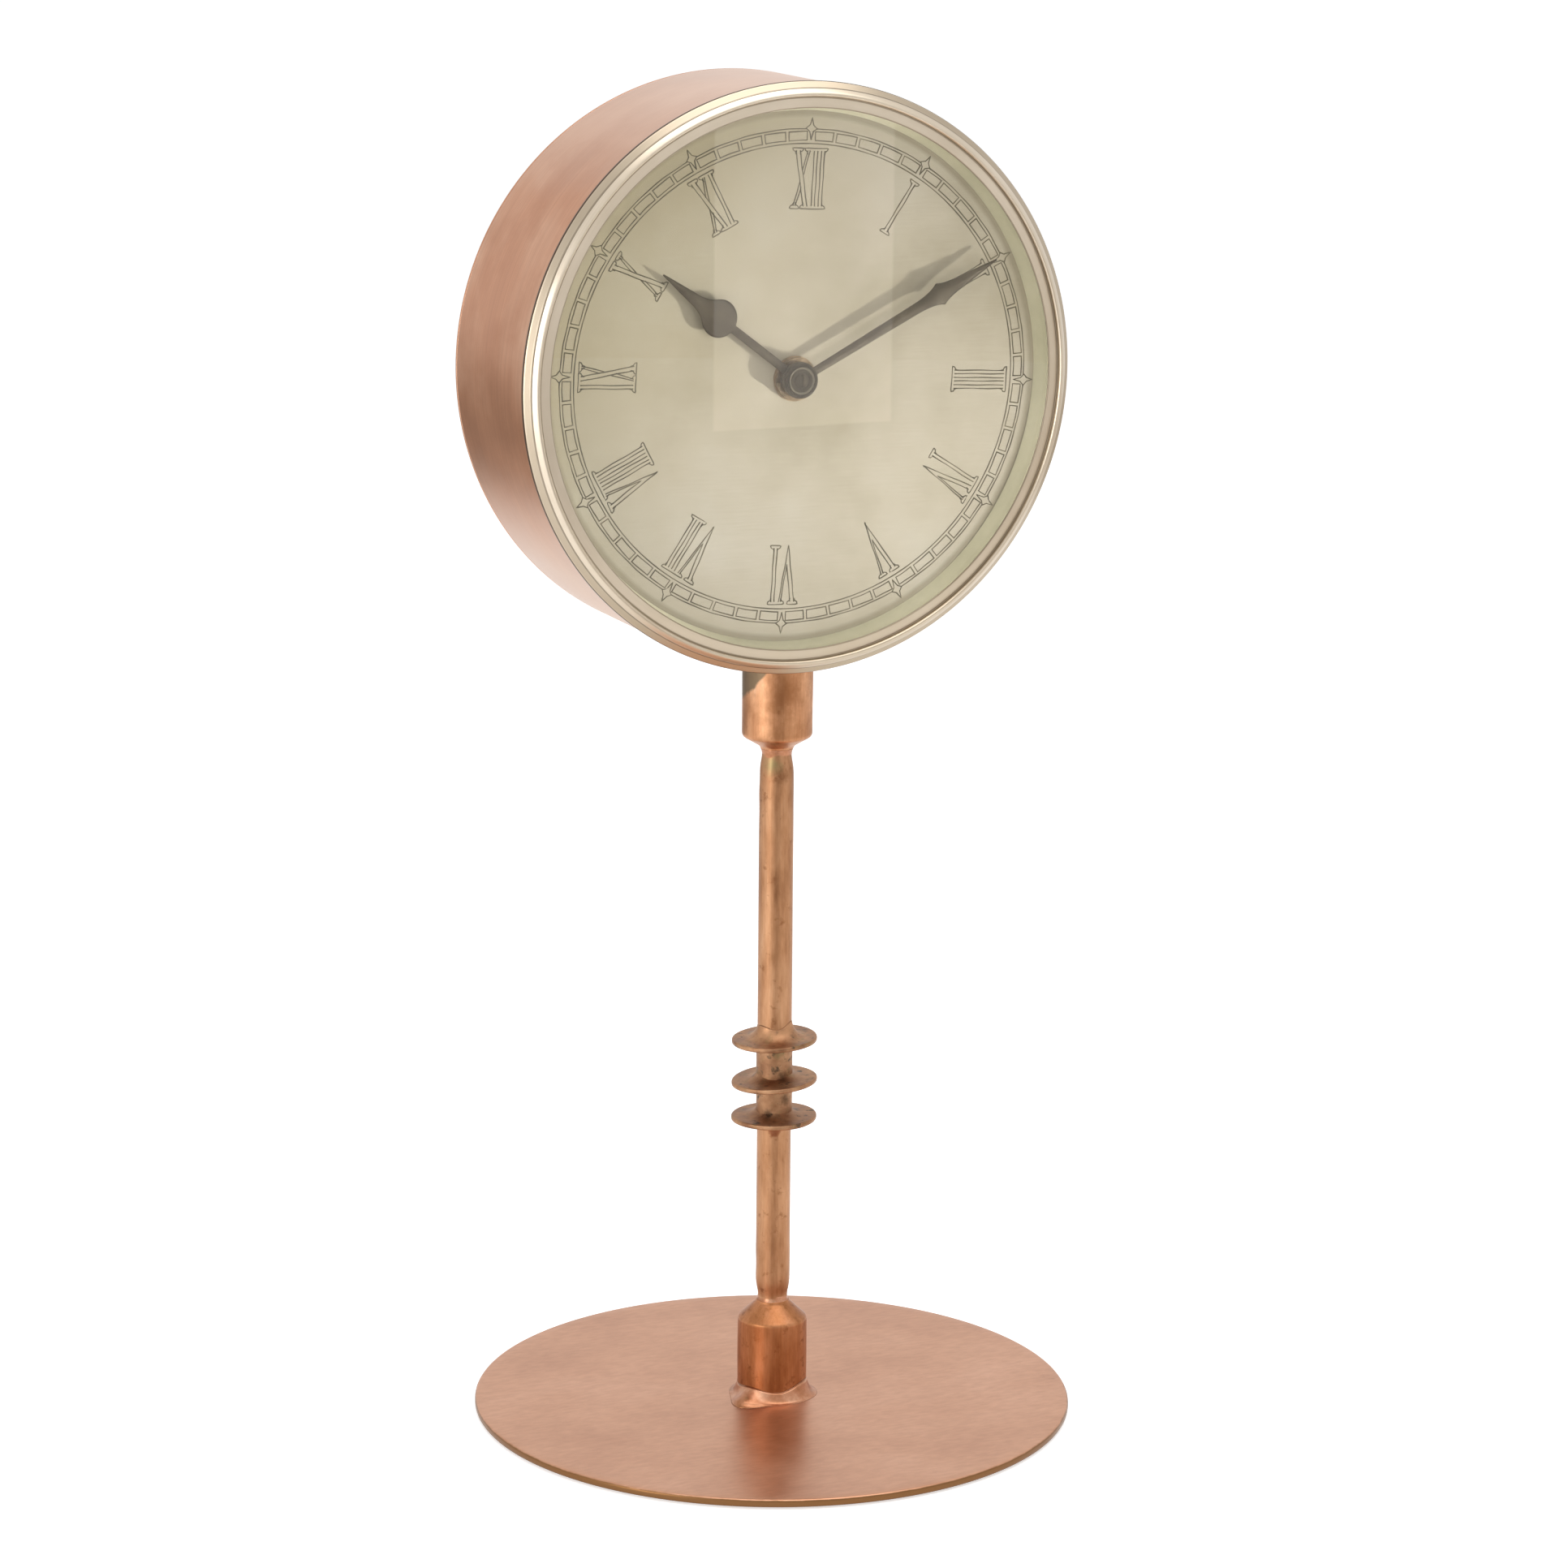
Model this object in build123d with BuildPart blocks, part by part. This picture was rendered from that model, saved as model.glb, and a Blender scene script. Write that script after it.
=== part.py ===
import math
import os

from build123d import *

# Table clock: a round copper drum with a quartz movement, on a brazed rod with a disc base.
# Millimetres. +Z is up, the dial faces -Y, and the origin is the centre of the base's underside.
# "Front distance" below is measured from the stem's axis towards the dial, along -Y.

# Stand
base_radius = 75.0
base_thickness = 2.0
base_edge_radius = 0.4
felt_thickness = 0.5
felt_margin = 3.0
stem_radius = 4.3
socket_radius = 8.7
socket_spigot_radius = 5.0
lower_socket_length = 20.3
lower_cone_height = 4.6
upper_socket_length = 18.7
upper_cone_height = 3.2
neck_wall = 0.6
stem_seat_depth = 14.0
foot_bead_width = 2.0
foot_bead_height = 3.6
foot_bead_fullness = (0.7, 0.55)
neck_bead_height = 1.6
neck_bead_hollow = (0.44, 0.4)
saddle_bead_width = 0.9
saddle_bead_height = 1.4
collar_wall = 0.25
disc_radius = 10.7
disc_thickness = 1.2
disc_edge_radius = 0.3
lowest_disc_height = 75.2
lower_disc_gap = 9.5
upper_disc_gap = 10.6
disc_tilts = {"lower": 1.0, "middle": 3.6, "upper": 3.2}
braze_gap = 0.05

# Head
head_height = 262.0
drum_radius = 70.5
drum_wall = 0.9
drum_back = -34.0
lid_thickness = 1.1
lid_edge_radius = 0.75
lid_rim_depth = 4.5
lid_rim_wall = 0.8
lid_clearance = 0.1
bezel_overhang = 0.8
bezel_flange = 1.0
bezel_depth = 3.1
bezel_sleeve_wall = 0.6
bezel_clearance = 0.1
groove_inset = 0.85
bead_width = 2.0
bead_height = 0.75
bezel_flat_width = 2.65
lip_thickness = 0.6
glass_thickness = 1.4
glass_clearance = 0.2
dial_front = 8.0
dial_thickness = 1.0
dial_clearance = 0.3
rehaut_foot = 1.0
rehaut_setback = 0.3
seat_thickness = 2.0
seat_width = 7.0

# Hands and centre stack
washer_rim = 1.5
washer_thickness = 0.4
nut_wall = 1.2
nut_thickness = 1.2
nut_slot_width = 1.2
nut_slot_depth = 0.5
neck_overhang = 0.1
hand_thickness = 0.5
hour_hand_gap = 0.3
minute_hand_gap = 0.6
cap_nut_radius = 4.3
cap_nut_thickness = 1.0
cap_edge_radius = 0.4
cap_thread_radius = 1.2
cap_thread_length = 0.5
cap_groove_depth = 0.3
cap_groove_width = 0.8
cap_glass_gap = 0.4
minute_hand_angle = 62.7
minute_tip_gap = 5.7
minute_boss_radius = 4.5
minute_stalk_root = 1.0
minute_stalk_end = 1.35
minute_dart_length = 24.3
minute_dart_rise = (19.7, 1.9)
minute_dart_shoulder = (16.7, 2.95)
minute_dart_fall = (14.1, 2.03)
minute_dart_end = (10.3, 1.49)
hour_hand_angle = 307.3
hour_hand_share = 0.753
hour_boss_radius = 4.2
hour_stalk_half_width = 1.05
hour_bulb_setback = 18.1
hour_bulb_radius = 4.6
hour_flank = (12.5, 1.96)
hour_taper_start = (9.4, 1.35)
hand_tip_half_width = 0.2
fit_gap = 0.01

# Quartz movement
case_wall = 1.0
gasket_thickness = 0.8
gasket_margin = 5.6
neck_radius = 4.0
hour_pipe_radius = 2.5
minute_arbor_radius = 1.6
arbor_radius = 0.5
pivot_radius = 0.35
pivot_depth = 0.6
pivot_end_gap = 0.12
front_shake = 0.3
back_shake = 0.1
running_gap = 0.05
bridge_thickness = 1.0
bridge_margin = 2.0
bridge_gap = 0.6
partition_wall = 0.8
partition_gap = 0.44
rear_room = 3.2
joint_share = 0.5
post_radius = 1.5
post_gap = 1.0
wide_post_gap = 2.0
wheel_thickness = 0.8
motion_wheel_thickness = 1.0
hour_wheel_gap = 0.6
motion_gap = 0.4
centre_gap = 0.6
train_gap = 0.8
stub_radius = 0.8
stub_overhang = 0.3
stub_hole_depth = 1.0
fourth_pivot_length = 0.8
stud_radius = 0.75
minute_hub_radius = 1.35
set_arbor_radius = 0.8
knob_radius = 4.8
knob_thickness = 3.4
knob_stand_off = 0.4
knob_grooves = 18
knob_groove_radius = 0.3
magnet_radius = 3.0
magnet_front_gap = 0.2
magnet_back_gap = 0.6
rotor_air_gap = 0.4
stator_ring_width = 2.0
stator_thickness = 1.0
stator_bar_width = 4.0
stator_arbor_gap = 1.0
coil_gap = 2.5
coil_room = 0.7
coil_start = -1.5
coil_length = 17.5
flange_radius = 4.8
flange_width = 1.0
bobbin_radius = 2.6
winding_radius = 4.3
leg_width = 3.5
leg_gap = 0.5
core_half_width = 2.0
board_width = 14.5
board_height = 13.5
board_thickness = 1.0
board_post_height = 2.2
board_post_inset = 2.5
board_gap = 0.56
board_top_gap = 2.0
chip_radius = 2.5
chip_height = 0.8
chip_edge_radius = 0.6
chip_rise = 2.0
crystal_radius = 1.0
crystal_length = 6.0
crystal_rise = 2.5
cell_radius = 7.25
cell_length = 50.5
cell_edge_radius = 0.6
cell_nub_radius = 2.75
cell_nub_length = 1.0
cell_front_gap = 0.2
cell_side_gap = 0.85
cell_floor_gap = 1.25
contact_thickness = 0.4
contact_width = 10.9
contact_gap = 0.1
contact_dimple = 1.15
dimple_radii = {"contact_positive": 2.2, "contact_negative": 3.6}

# Gear train: teeth and modules
hour_teeth = 40
minute_pinion_teeth = 10
hour_module = 0.3
cannon_teeth = 12
minute_teeth = 36
centre_teeth = 64
third_pinion_teeth = 8
third_teeth = 60
fourth_pinion_teeth = 8
fourth_teeth = 40
middle_pinion_teeth = 8
middle_teeth = 48
rotor_teeth = 8
centre_module = 0.25
fourth_module = 0.375
rotor_module = 0.25
pressure_angle = math.radians(30)
addendum = 0.8
dedendum = 1.05
tooth_share = 0.43
flank_start = 0.1

# Directions between arbors, anticlockwise from +X as seen from the front
minute_direction = math.radians(-20)
third_direction = math.radians(180)
middle_direction = math.radians(75)
rotor_direction = math.radians(10)
post_directions = [math.radians(226), math.radians(25.7), math.radians(87)]

# Heights and radii of the stand
base_top = felt_thickness + base_thickness
lower_socket_top = base_top + lower_socket_length
lower_neck_top = lower_socket_top + lower_cone_height
upper_socket_bottom = head_height - drum_radius - upper_socket_length
upper_neck_bottom = upper_socket_bottom - upper_cone_height
disc_heights = {
    "lower": lowest_disc_height,
    "middle": lowest_disc_height + lower_disc_gap,
    "upper": lowest_disc_height + lower_disc_gap + upper_disc_gap,
}
stem_bottom = lower_socket_top - stem_seat_depth
stem_top = upper_neck_bottom + stem_seat_depth
socket_bore = stem_radius + running_gap
neck_outer = stem_radius + neck_wall

# Front distances, from the dial backwards and forwards
dial_back = dial_front - dial_thickness
case_front = dial_back - gasket_thickness
case_floor = case_front - case_wall
nut_back = dial_front + washer_thickness
neck_end = nut_back + nut_thickness + neck_overhang
hour_hand_back = neck_end + hour_hand_gap
minute_hand_back = hour_hand_back + hand_thickness + minute_hand_gap
cap_nut_back = minute_hand_back + hand_thickness
glass_back = cap_nut_back + cap_nut_thickness + cap_glass_gap
glass_front = glass_back + glass_thickness
bezel_front = glass_front + lip_thickness
drum_front = bezel_front - bezel_depth

# Back faces of the gear layers, from the front case backwards
layer_hour = case_floor - hour_wheel_gap - motion_wheel_thickness
layer_minute = layer_hour - motion_gap - motion_wheel_thickness
layer_centre = layer_minute - centre_gap - wheel_thickness
layer_third = layer_centre - train_gap - wheel_thickness
layer_fourth = layer_third - train_gap - wheel_thickness
layer_rotor = layer_fourth - train_gap - wheel_thickness
bridge_front = layer_rotor - bridge_gap
bridge_back = bridge_front - bridge_thickness
case_back = bridge_back - rear_room - case_wall
case_joint = case_front - joint_share * (case_front - case_back)
front_pivot_end = case_floor + pivot_depth - pivot_end_gap
back_pivot_end = bridge_back + pivot_end_gap
arbor_front = case_floor - front_shake
arbor_back = bridge_front + back_shake
stub_end = layer_centre - stub_overhang
magnet_front = layer_centre - magnet_front_gap
magnet_back = layer_rotor + wheel_thickness + magnet_back_gap
stator_front = (magnet_front + magnet_back + stator_thickness) / 2
board_back = case_floor - board_post_height - board_thickness

# Radii of the head
drum_bore = drum_radius - drum_wall
bezel_radius = drum_radius + bezel_overhang
bezel_groove_radius = drum_radius - groove_inset
bezel_quirk_radius = bezel_groove_radius - bead_width
bezel_front_radius = bezel_quirk_radius - bezel_flat_width
bezel_sleeve_outer = drum_bore - bezel_clearance
bezel_sleeve_inner = bezel_sleeve_outer - bezel_sleeve_wall
glass_radius = bezel_sleeve_inner - glass_clearance
rehaut_front_radius = bezel_front_radius + rehaut_setback
rehaut_back_radius = bezel_front_radius - rehaut_foot
minute_hand_length = rehaut_back_radius - minute_tip_gap
hour_hand_length = hour_hand_share * minute_hand_length
hour_bulb_middle = hour_hand_length - hour_bulb_setback
minute_dart_start = minute_hand_length - minute_dart_length
pipe_bore = minute_arbor_radius + running_gap
neck_bore = hour_pipe_radius + running_gap
pivot_bore = pivot_radius + running_gap

# Distances between arbors, and the modules that follow from them
motion_distance = (hour_teeth + minute_pinion_teeth) * hour_module / 2
minute_module = 2 * motion_distance / (cannon_teeth + minute_teeth)
third_distance = (centre_teeth + third_pinion_teeth) * centre_module / 2
third_module = 2 * third_distance / (third_teeth + fourth_pinion_teeth)
middle_distance = (fourth_teeth + middle_pinion_teeth) * fourth_module / 2
rotor_distance = (middle_teeth + rotor_teeth) * rotor_module / 2
third_tip_radius = third_module * (third_teeth / 2 + addendum)
minute_tip_radius = minute_module * (minute_teeth / 2 + addendum)


def step_from(point, direction, distance):
    """The point that lies the given distance from another, along a direction."""
    return (
        point[0] + distance * math.cos(direction),
        point[1] + distance * math.sin(direction),
    )


# Places on the movement, from the head's axis: X to the right and Y up
centre_arbor = (0.0, 0.0)
minute_arbor_place = step_from(centre_arbor, minute_direction, motion_distance)
set_arbor_place = step_from(minute_arbor_place, minute_direction, motion_distance)
third_arbor_place = step_from(centre_arbor, third_direction, third_distance)
middle_arbor_place = step_from(centre_arbor, middle_direction, middle_distance)
rotor_arbor_place = step_from(middle_arbor_place, rotor_direction, rotor_distance)
third_post_distance = third_tip_radius + post_radius + post_gap
minute_post_distance = minute_tip_radius + post_radius + wide_post_gap
bridge_posts = [
    step_from(third_arbor_place, post_directions[0], third_post_distance),
    step_from(minute_arbor_place, post_directions[1], minute_post_distance),
    step_from(third_arbor_place, post_directions[2], third_post_distance),
]
bridge_low = (bridge_posts[0][0] - bridge_margin, bridge_posts[0][1] - post_radius)
bridge_high = (bridge_posts[1][0] + bridge_margin, bridge_posts[2][1] + post_radius)
partition_height = bridge_low[1] - partition_gap - partition_wall
cell_height = partition_height - cell_side_gap - cell_radius
cell_front_distance = case_floor - cell_front_gap - cell_radius
stator_bar_bottom = middle_arbor_place[1] + arbor_radius + stator_arbor_gap
stator_bar_top = stator_bar_bottom + stator_bar_width
stator_bar_middle = (stator_bar_bottom + stator_bar_top) / 2
coil_height = stator_bar_top + coil_gap + flange_radius
stator_leg_left = coil_start - leg_gap - leg_width / 2
stator_leg_right = coil_start + coil_length + leg_gap + leg_width / 2
stator_posts = [(stator_leg_left, stator_bar_middle), (stator_leg_right, stator_bar_middle)]
contact_face = cell_length / 2 + contact_gap + contact_dimple
case_inner = contact_face + contact_thickness + contact_gap
case_half_width = case_inner + case_wall
case_bottom_inner = cell_height - cell_radius - cell_floor_gap
case_top_inner = coil_height + flange_radius + coil_room
case_middle = (case_bottom_inner + case_top_inner) / 2
case_inner_height = case_top_inner - case_bottom_inner
case_outer_height = case_inner_height + 2 * case_wall
board_middle = (
    bridge_posts[2][0] - post_radius - board_gap - board_width / 2,
    case_top_inner - board_top_gap - board_height / 2,
)
board_posts = [
    (
        board_middle[0] + side * (board_width / 2 - board_post_inset),
        board_middle[1] - side * (board_height / 2 - board_post_inset),
    )
    for side in (-1, 1)
]


def front_plane(distance, place=(0.0, 0.0)):
    """Plane facing the viewer, with X to the right and Y up, about a point of the head."""
    return Plane(
        origin=(place[0], -distance, head_height + place[1]),
        x_dir=(1, 0, 0),
        z_dir=(0, -1, 0),
    )


def hand_plane(distance, angle):
    """Front plane whose X runs along a hand, its angle clockwise from the top."""
    turn = math.radians(angle)
    return Plane(
        origin=(0, -distance, head_height),
        x_dir=(math.sin(turn), 0, math.cos(turn)),
        z_dir=(0, -1, 0),
    )


# Profile plane of the head: X is the radius and Y the front distance
head_profile = Plane(origin=(0, 0, head_height), x_dir=(1, 0, 0), z_dir=(0, 0, -1))
head_axis = Axis((0, 0, head_height), (0, -1, 0))


def save(piece, label):
    """Names a finished piece and writes its file."""
    piece.part.label = label
    export_step(piece.part, f"parts/{label}.step")


def involute(angle):
    """Involute function of a pressure angle."""
    return math.tan(angle) - angle


def gear_outline(teeth, module, turn):
    """Corners of a gear: each tooth has a root, pitch and tip point on both involute flanks."""
    pitch = teeth * module / 2
    base = pitch * math.cos(pressure_angle)
    root = pitch - dedendum * module
    tip = pitch + addendum * module
    half_pitch_angle = tooth_share * math.pi / teeth
    radii = [root, max(root, base) + flank_start * module, pitch, tip]
    half_angles = []
    for radius in radii:
        flank = math.acos(min(1.0, base / radius))
        half_angles.append(half_pitch_angle + involute(pressure_angle) - involute(flank))
    half_angles[0] = half_angles[1]
    corners = []
    for tooth in range(teeth):
        middle = turn + 2 * math.pi * tooth / teeth
        flanks = [(radius, -half) for radius, half in zip(radii, half_angles)]
        flanks += [(radius, half) for radius, half in zip(radii[::-1], half_angles[::-1])]
        for radius, half in flanks:
            corners.append((radius * math.cos(middle + half), radius * math.sin(middle + half)))
    return corners


def meshed_turn(driver_teeth, driver_turn, teeth, direction):
    """Turn that puts a gear in mesh with its driver, which lies opposite to the direction."""
    share = (direction - driver_turn) * driver_teeth / (2 * math.pi)
    return direction + math.pi - (0.5 - share) * 2 * math.pi / teeth


# Turn of each gear about its arbor at rest
cannon_turn = 0.0
minute_turn = meshed_turn(cannon_teeth, cannon_turn, minute_teeth, minute_direction)
set_turn = meshed_turn(minute_teeth, minute_turn, cannon_teeth, minute_direction)
minute_pinion_turn = 0.0
hour_turn = meshed_turn(
    minute_pinion_teeth, minute_pinion_turn, hour_teeth, minute_direction + math.pi
)
centre_turn = 0.0
third_pinion_turn = meshed_turn(centre_teeth, centre_turn, third_pinion_teeth, third_direction)
third_turn = 0.0
fourth_pinion_turn = meshed_turn(
    third_teeth, third_turn, fourth_pinion_teeth, third_direction + math.pi
)
fourth_turn = 0.0
middle_pinion_turn = meshed_turn(fourth_teeth, fourth_turn, middle_pinion_teeth, middle_direction)
middle_turn = 0.0
rotor_turn = meshed_turn(middle_teeth, middle_turn, rotor_teeth, rotor_direction)

os.makedirs("parts", exist_ok=True)

# Base: felt disc, copper plate and the lower socket with its brazed foot

with BuildPart() as base_felt:
    with BuildSketch(Plane.XY):
        Circle(base_radius - felt_margin)
    extrude(amount=felt_thickness)
save(base_felt, "base_felt")

with BuildPart() as base_plate:
    with BuildSketch(Plane.XY.offset(felt_thickness)):
        Circle(base_radius)
        Circle(socket_spigot_radius + braze_gap, mode=Mode.SUBTRACT)
    extrude(amount=base_thickness)
    rim_edges = base_plate.edges().filter_by(GeomType.CIRCLE).group_by(SortBy.RADIUS)[-1]
    fillet(rim_edges, base_edge_radius)
save(base_plate, "base_plate")

with BuildPart() as lower_socket:
    with BuildSketch(Plane.XZ):
        with BuildLine():
            Polyline(
                (0, felt_thickness),
                (socket_spigot_radius, felt_thickness),
                (socket_spigot_radius, base_top),
                (socket_radius, base_top),
                (socket_radius, lower_socket_top),
                (neck_outer, lower_neck_top),
                (socket_bore, lower_neck_top),
                (socket_bore, stem_bottom),
                (0, stem_bottom),
                close=True,
            )
        make_face()
    revolve(axis=Axis.Z)
save(lower_socket, "lower_socket")

with BuildPart() as foot_braze:
    with BuildSketch(Plane.XZ):
        with BuildLine():
            bead_inner = socket_radius + braze_gap
            bead_outer = socket_radius + foot_bead_width
            bead_top = base_top + foot_bead_height
            Line((bead_inner, base_top), (bead_outer, base_top))
            ThreePointArc(
                (bead_outer, base_top),
                (
                    bead_inner + foot_bead_fullness[0] * foot_bead_width,
                    base_top + foot_bead_fullness[1] * foot_bead_height,
                ),
                (bead_inner, bead_top),
            )
            Line((bead_inner, bead_top), (bead_inner, base_top))
        make_face()
    revolve(axis=Axis.Z)
save(foot_braze, "foot_braze")

# Stem: rod, three tilted discs and the collars brazed between them

with BuildPart() as stem_rod:
    with BuildSketch(Plane.XY.offset(stem_bottom)):
        Circle(stem_radius)
    extrude(amount=stem_top - stem_bottom)
save(stem_rod, "stem_rod")


def disc_plane(name, offset):
    """Plane of a stem disc: level with its height, and tilted up towards +X."""
    tilt = math.radians(disc_tilts[name])
    return Plane(
        origin=(0, 0, disc_heights[name]),
        x_dir=(math.cos(tilt), 0, math.sin(tilt)),
        z_dir=(-math.sin(tilt), 0, math.cos(tilt)),
    ).offset(offset)


disc_bore = stem_radius + braze_gap
for disc_name, disc_height in disc_heights.items():
    with BuildPart() as stem_disc:
        with BuildSketch(disc_plane(disc_name, -disc_thickness / 2)):
            Circle(disc_radius)
        extrude(amount=disc_thickness)
        fillet(stem_disc.edges(), disc_edge_radius)
        with BuildSketch(Plane.XY.offset(disc_height - disc_radius)):
            Circle(disc_bore)
        extrude(amount=2 * disc_radius, mode=Mode.SUBTRACT)
    save(stem_disc, f"stem_disc_{disc_name}")

for collar_name, below, above in (("lower", "lower", "middle"), ("upper", "middle", "upper")):
    with BuildPart() as disc_collar:
        with BuildSketch(Plane.XY.offset(disc_heights[below])):
            Circle(disc_bore + collar_wall)
            Circle(disc_bore, mode=Mode.SUBTRACT)
        extrude(amount=disc_heights[above] - disc_heights[below])
        split(bisect_by=disc_plane(below, disc_thickness / 2), keep=Keep.TOP)
        split(bisect_by=disc_plane(above, -disc_thickness / 2), keep=Keep.BOTTOM)
    save(disc_collar, f"disc_collar_{collar_name}")

# Upper socket, cut to the drum, with its brazed neck and saddle

with BuildPart() as upper_socket:
    with BuildSketch(Plane.XZ):
        with BuildLine():
            Polyline(
                (socket_bore, upper_neck_bottom),
                (neck_outer, upper_neck_bottom),
                (socket_radius, upper_socket_bottom),
                (socket_radius, head_height - drum_radius + drum_wall + socket_radius),
                (0, head_height - drum_radius + drum_wall + socket_radius),
                (0, stem_top),
                (socket_bore, stem_top),
                close=True,
            )
        make_face()
    revolve(axis=Axis.Z)
    with BuildSketch(front_plane(drum_back)):
        Circle(drum_radius + braze_gap)
    extrude(amount=drum_front - drum_back, mode=Mode.SUBTRACT)
save(upper_socket, "upper_socket")

saddle_bottom = head_height - drum_radius - saddle_bead_height
with BuildPart() as saddle_braze:
    with BuildSketch(Plane.XZ):
        with BuildLine():
            Polyline(
                (socket_radius + braze_gap, saddle_bottom),
                (socket_radius + saddle_bead_width, saddle_bottom + saddle_bead_height),
                (socket_radius + saddle_bead_width, saddle_bottom + 2 * saddle_bead_height),
                (socket_radius + braze_gap, saddle_bottom + 2 * saddle_bead_height),
                close=True,
            )
        make_face()
    revolve(axis=Axis.Z)
    with BuildSketch(front_plane(drum_back)):
        Circle(drum_radius + braze_gap)
    extrude(amount=drum_front - drum_back, mode=Mode.SUBTRACT)
save(saddle_braze, "saddle_braze")

neck_beads = {
    "lower_neck_braze": (lower_neck_top, neck_bead_height),
    "upper_neck_braze": (upper_neck_bottom, -neck_bead_height),
}
for bead_name, (bead_start, bead_rise) in neck_beads.items():
    with BuildPart() as neck_braze:
        with BuildSketch(Plane.XZ):
            with BuildLine():
                Line((disc_bore, bead_start), (neck_outer, bead_start))
                ThreePointArc(
                    (neck_outer, bead_start),
                    (
                        disc_bore + neck_bead_hollow[0] * neck_wall,
                        bead_start + neck_bead_hollow[1] * bead_rise,
                    ),
                    (disc_bore, bead_start + bead_rise),
                )
                Line((disc_bore, bead_start + bead_rise), (disc_bore, bead_start))
            make_face()
        revolve(axis=Axis.Z)
    save(neck_braze, bead_name)

# Case: drum, back lid, dial seat, dial, rehaut, glass and bezel

with BuildPart() as case_drum:
    with BuildSketch(front_plane(drum_back)):
        Circle(drum_radius)
        Circle(drum_bore, mode=Mode.SUBTRACT)
    extrude(amount=drum_front - drum_back)
save(case_drum, "case_drum")

lid_rim_outer = drum_bore - lid_clearance
with BuildPart() as back_lid:
    with BuildSketch(front_plane(drum_back)):
        Circle(drum_radius)
    extrude(amount=-lid_thickness)
    lid_edge = back_lid.faces().sort_by(Axis.Y)[-1].edges()
    fillet(lid_edge, lid_edge_radius)
    with BuildSketch(front_plane(drum_back)):
        Circle(lid_rim_outer)
        Circle(lid_rim_outer - lid_rim_wall, mode=Mode.SUBTRACT)
    extrude(amount=lid_rim_depth)
save(back_lid, "back_lid")

with BuildPart() as dial_seat:
    with BuildSketch(front_plane(dial_back)):
        Circle(drum_bore - braze_gap)
        Circle(drum_bore - seat_width, mode=Mode.SUBTRACT)
    extrude(amount=-seat_thickness)
save(dial_seat, "dial_seat")

with BuildPart() as dial_plate:
    with BuildSketch(front_plane(dial_back)):
        Circle(drum_bore - dial_clearance)
        Circle(neck_radius + running_gap, mode=Mode.SUBTRACT)
    extrude(amount=dial_thickness)
save(dial_plate, "dial_plate")

with BuildPart() as rehaut_ring:
    with BuildSketch(head_profile):
        with BuildLine():
            Polyline(
                (rehaut_back_radius, dial_front),
                (glass_radius, dial_front),
                (glass_radius, glass_back),
                (rehaut_front_radius, glass_back),
                close=True,
            )
        make_face()
    revolve(axis=head_axis)
save(rehaut_ring, "rehaut_ring")

with BuildPart() as glass_lens:
    with BuildSketch(front_plane(glass_back)):
        Circle(glass_radius)
    extrude(amount=glass_thickness)
save(glass_lens, "glass_lens")

bead_foot = bezel_front - bead_height / 2
bead_middle = (bezel_groove_radius + bezel_quirk_radius) / 2
with BuildPart() as bezel_ring:
    with BuildSketch(head_profile):
        with BuildLine():
            Polyline(
                (bezel_groove_radius, bead_foot),
                (bezel_groove_radius, drum_front + bezel_flange),
                (bezel_radius, drum_front + bezel_flange),
                (bezel_radius, drum_front),
                (bezel_sleeve_outer, drum_front),
                (bezel_sleeve_outer, dial_front + dial_clearance),
                (bezel_sleeve_inner, dial_front + dial_clearance),
                (bezel_sleeve_inner, glass_front),
                (bezel_front_radius, glass_front),
                (bezel_front_radius, bezel_front),
                (bezel_quirk_radius, bead_foot),
            )
            ThreePointArc(
                (bezel_quirk_radius, bead_foot),
                (bead_middle, bezel_front + bead_height),
                (bezel_groove_radius, bead_foot),
            )
        make_face()
    revolve(axis=head_axis)
save(bezel_ring, "bezel_ring")

# Centre stack on the dial: gasket behind it, washer and slotted round nut in front

with BuildPart() as movement_gasket:
    with BuildSketch(front_plane(case_front)):
        with Locations((0, case_middle)):
            Rectangle(2 * (case_half_width - gasket_margin), case_outer_height - 2 * gasket_margin)
        Circle(neck_radius + running_gap, mode=Mode.SUBTRACT)
    extrude(amount=gasket_thickness)
save(movement_gasket, "movement_gasket")

with BuildPart() as dial_washer:
    with BuildSketch(front_plane(dial_front)):
        Circle(neck_radius + washer_rim)
        Circle(neck_radius + running_gap, mode=Mode.SUBTRACT)
    extrude(amount=washer_thickness)
save(dial_washer, "dial_washer")

with BuildPart() as dial_nut:
    with BuildSketch(front_plane(nut_back)):
        Circle(neck_radius + nut_wall)
        Circle(neck_radius + running_gap, mode=Mode.SUBTRACT)
    extrude(amount=nut_thickness)
    with BuildSketch(front_plane(nut_back + nut_thickness - nut_slot_depth)):
        Rectangle(2 * (neck_radius + nut_wall), nut_slot_width)
    extrude(amount=nut_slot_depth, mode=Mode.SUBTRACT)
save(dial_nut, "dial_nut")

# Movement case: front tray with the neck, posts and bearings, and the rear cap

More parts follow.
